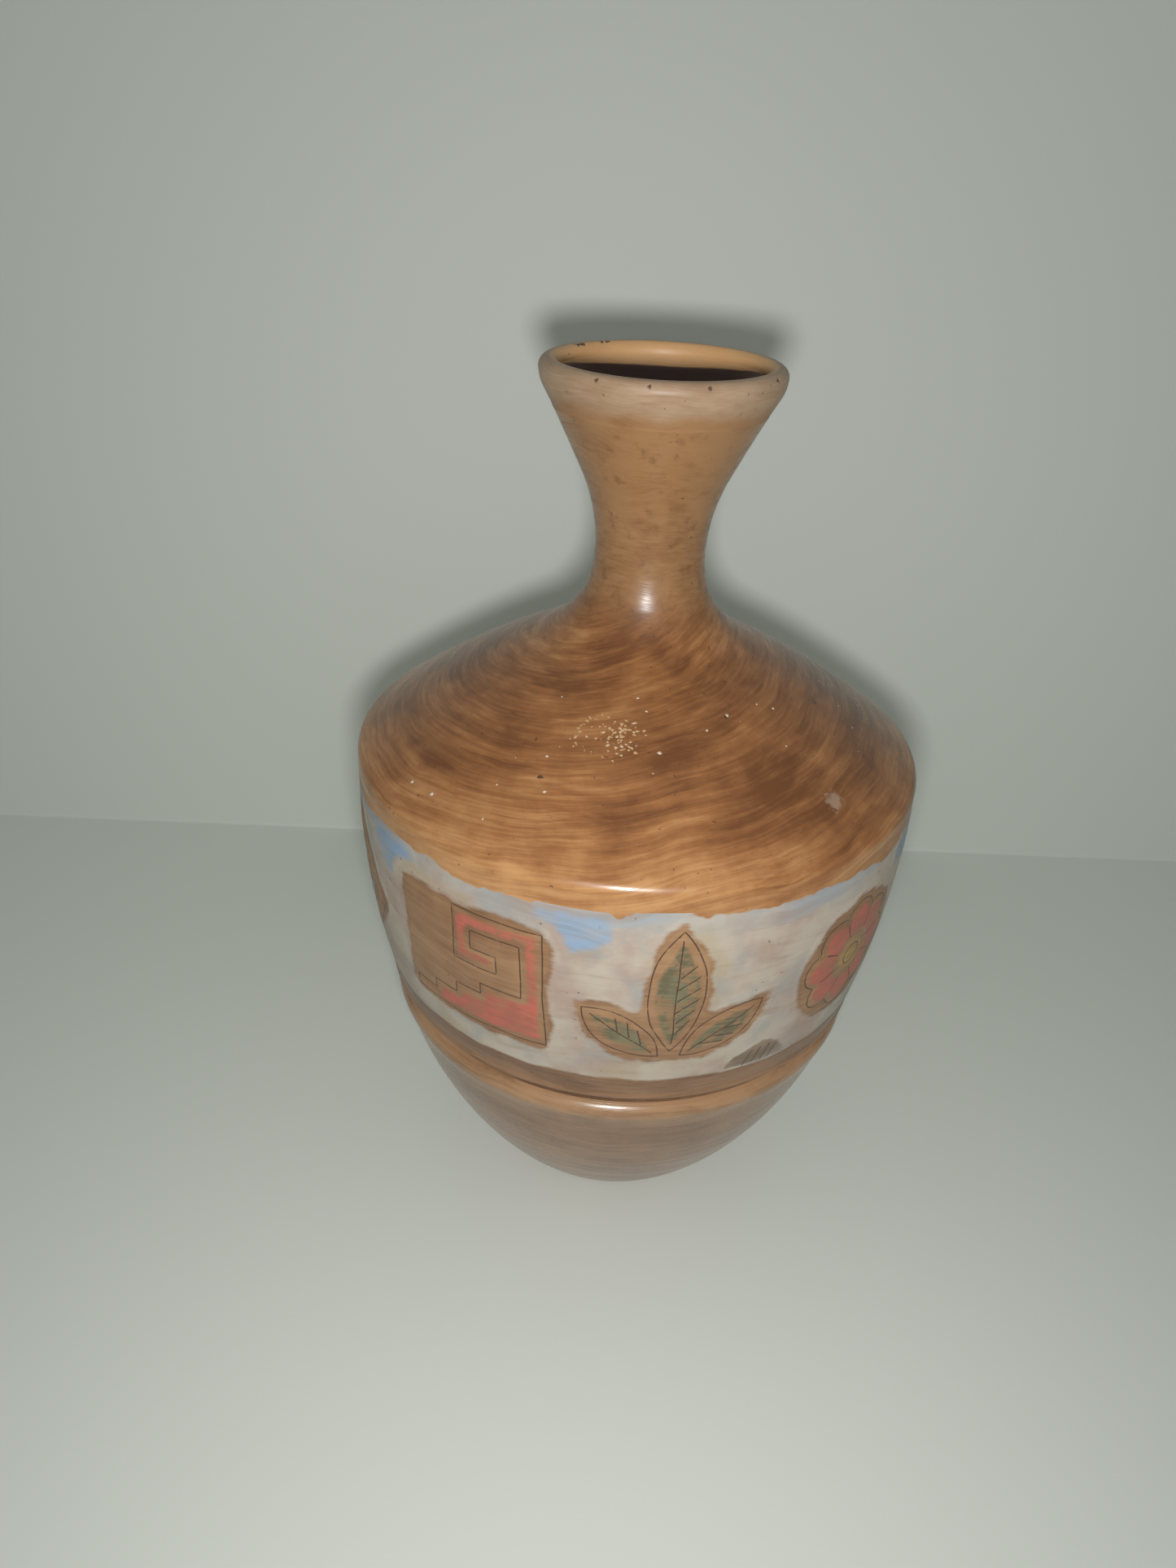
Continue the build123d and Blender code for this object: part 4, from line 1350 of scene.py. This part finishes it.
def lay_crumbs():
    """Every crumb as a low lump with an uneven rim, set a little into the stain."""
    rng = np.random.default_rng(7)
    flakes, beads = scatter_crumbs(rng)
    corners, faces, fresh = [], [], []
    for number, (turn, out, size) in enumerate(flakes + beads):
        is_flake = number < len(flakes)
        turn, (radius, height) = radians(turn), on_dome(out)
        fall = Vector((0.5, height - on_dome(out - 0.5)[1])).normalized()
        outward = Vector((sin(turn), -cos(turn), 0))
        across = Vector((cos(turn), sin(turn), 0))
        down = outward * fall.x + Vector((0, 0, fall.y))
        up = across.cross(down)
        up = up if up.z > 0 else -up
        centre = outward * radius + Vector((0, 0, height)) + up * (COAT - CRUMB_SINK)
        stretch, spin = rng.uniform(0.9, 1.9 if is_flake else 1.3), rng.uniform(-0.7, 0.7)
        rim = [size / 2 * rng.uniform(0.6, 1.3) for _ in range(CRUMB_SIDES)]
        fresh += [rng.uniform(-0.2, 0.5) if is_flake else 1.0] * (3 * CRUMB_SIDES)
        flatness, bulk = 0.5 if is_flake else 1.0, min(1.0, size + 0.3)
        first = len(corners)
        for share, rise in CRUMB_STEPS:
            for i, width in enumerate(rim):
                angle = 2 * pi * i / CRUMB_SIDES
                x, y = width * share * stretch * cos(angle), width * share * sin(angle)
                x, y = x * cos(spin) - y * sin(spin), x * sin(spin) + y * cos(spin)
                corners.append(centre + across * x + down * y + up * rise * flatness * bulk)
        for low in (first, first + CRUMB_SIDES):
            high = low + CRUMB_SIDES
            for i, after in enumerate([*range(1, CRUMB_SIDES), 0]):
                faces.append((low + i, low + after, high + after, high + i))
        faces.append(tuple(first + 2 * CRUMB_SIDES + i for i in range(CRUMB_SIDES)))
        faces.append(tuple(first + i for i in reversed(range(CRUMB_SIDES))))
    corners = [tuple(corner) for corner in corners]
    finish_piece("slip_crumbs", corners, faces, make_crumb_finish(), [], {"fresh": fresh})


lay_crumbs()


# ---- Where the vase stands ----
# A plain pale floor that folds up into a backdrop behind the vase, turned a little from square.
# Seen from its back, the backdrop lets the view through.
FOLD = 178.0
FOLD_ROUND = 1.2
BACKDROP_YAW = 1.1
FLOOR_REACH = 2600.0
BACKDROP_HEIGHT = 1800.0
FLOOR_COLOUR = (0.780, 0.815, 0.755, 1)
FLOOR_ROUGHNESS = 0.6


def make_backdrop():
    """Floor and backdrop in one sheet."""
    bend = bow((FOLD - FOLD_ROUND, 0), (FOLD - FOLD_ROUND * 0.3, FOLD_ROUND * 0.3), (FOLD, FOLD_ROUND), 0.3)
    side = [(-FLOOR_REACH, 0), *bend, (FOLD, BACKDROP_HEIGHT)]
    turn = Matrix.Rotation(radians(BACKDROP_YAW), 3, "Z")
    corners = [turn @ Vector((x * FLOOR_REACH, y, z)) * MM for x in (-1, 1) for y, z in side]
    count = len(side)
    mesh = bpy.data.meshes.new("backdrop")
    mesh.from_pydata(corners, [], [(i, count + i, count + i + 1, i + 1) for i in range(count - 1)])
    mesh.shade_smooth()
    material, tree, shader = new_finish("backdrop_pale")
    shader.inputs["Base Color"].default_value = FLOOR_COLOUR
    shader.inputs["Roughness"].default_value = FLOOR_ROUGHNESS
    clear = tree.nodes.new("ShaderNodeBsdfTransparent")
    either = tree.nodes.new("ShaderNodeMixShader")
    tree.links.new(tree.nodes.new("ShaderNodeNewGeometry").outputs["Backfacing"], either.inputs[0])
    tree.links.new(shader.outputs[0], either.inputs[1])
    tree.links.new(clear.outputs[0], either.inputs[2])
    tree.links.new(either.outputs[0], tree.nodes["Material Output"].inputs["Surface"])
    mesh.materials.append(material)
    backdrop = put_in_scene("backdrop", mesh)


make_backdrop()


# ---- Light and camera ----
# A small soft lamp just below the camera, and even light from all round.
# The camera looks down at the vase from its front.
LAMP_PLACE = (-12.0, -300.0, 284.0)
LAMP_AIM = (0.0, 0.0, 120.0)
LAMP_SIZE = 26.0
LAMP_WATTS = 0.76
ROOM_COLOUR = (0.96, 1.0, 0.97, 1)
ROOM_LEVEL = 0.22
CAMERA_PLACE = (-13.8, -297.9, 308.5)
CAMERA_PITCH = 30.22
CAMERA_ROLL = 2.87
CAMERA_LENS = 25.65

lamp = put_in_scene("lamp", bpy.data.lights.new("lamp", "AREA"))
lamp.data.shape = "DISK"
lamp.data.size = LAMP_SIZE * MM
lamp.data.energy = LAMP_WATTS
lamp.location = Vector(LAMP_PLACE) * MM
lamp.rotation_euler = (Vector(LAMP_AIM) - Vector(LAMP_PLACE)).to_track_quat("-Z", "Y").to_euler()
lamp.visible_camera = False

world = bpy.data.worlds.new("room")
world.use_nodes = True
background = world.node_tree.nodes["Background"]
background.inputs["Color"].default_value = ROOM_COLOUR
background.inputs["Strength"].default_value = ROOM_LEVEL
bpy.context.scene.world = world

camera = put_in_scene("camera", bpy.data.cameras.new("camera"))
camera.data.sensor_width = 36.0
camera.data.lens = CAMERA_LENS
camera.data.clip_start = 0.01
camera.data.clip_end = 20.0
looking = Matrix.Rotation(radians(90 - CAMERA_PITCH), 3, "X") @ Matrix.Rotation(radians(CAMERA_ROLL), 3, "Z")
camera.matrix_world = Matrix.Translation(Vector(CAMERA_PLACE) * MM) @ looking.to_4x4()
bpy.context.scene.camera = camera
bpy.context.scene.view_settings.view_transform = "Standard"
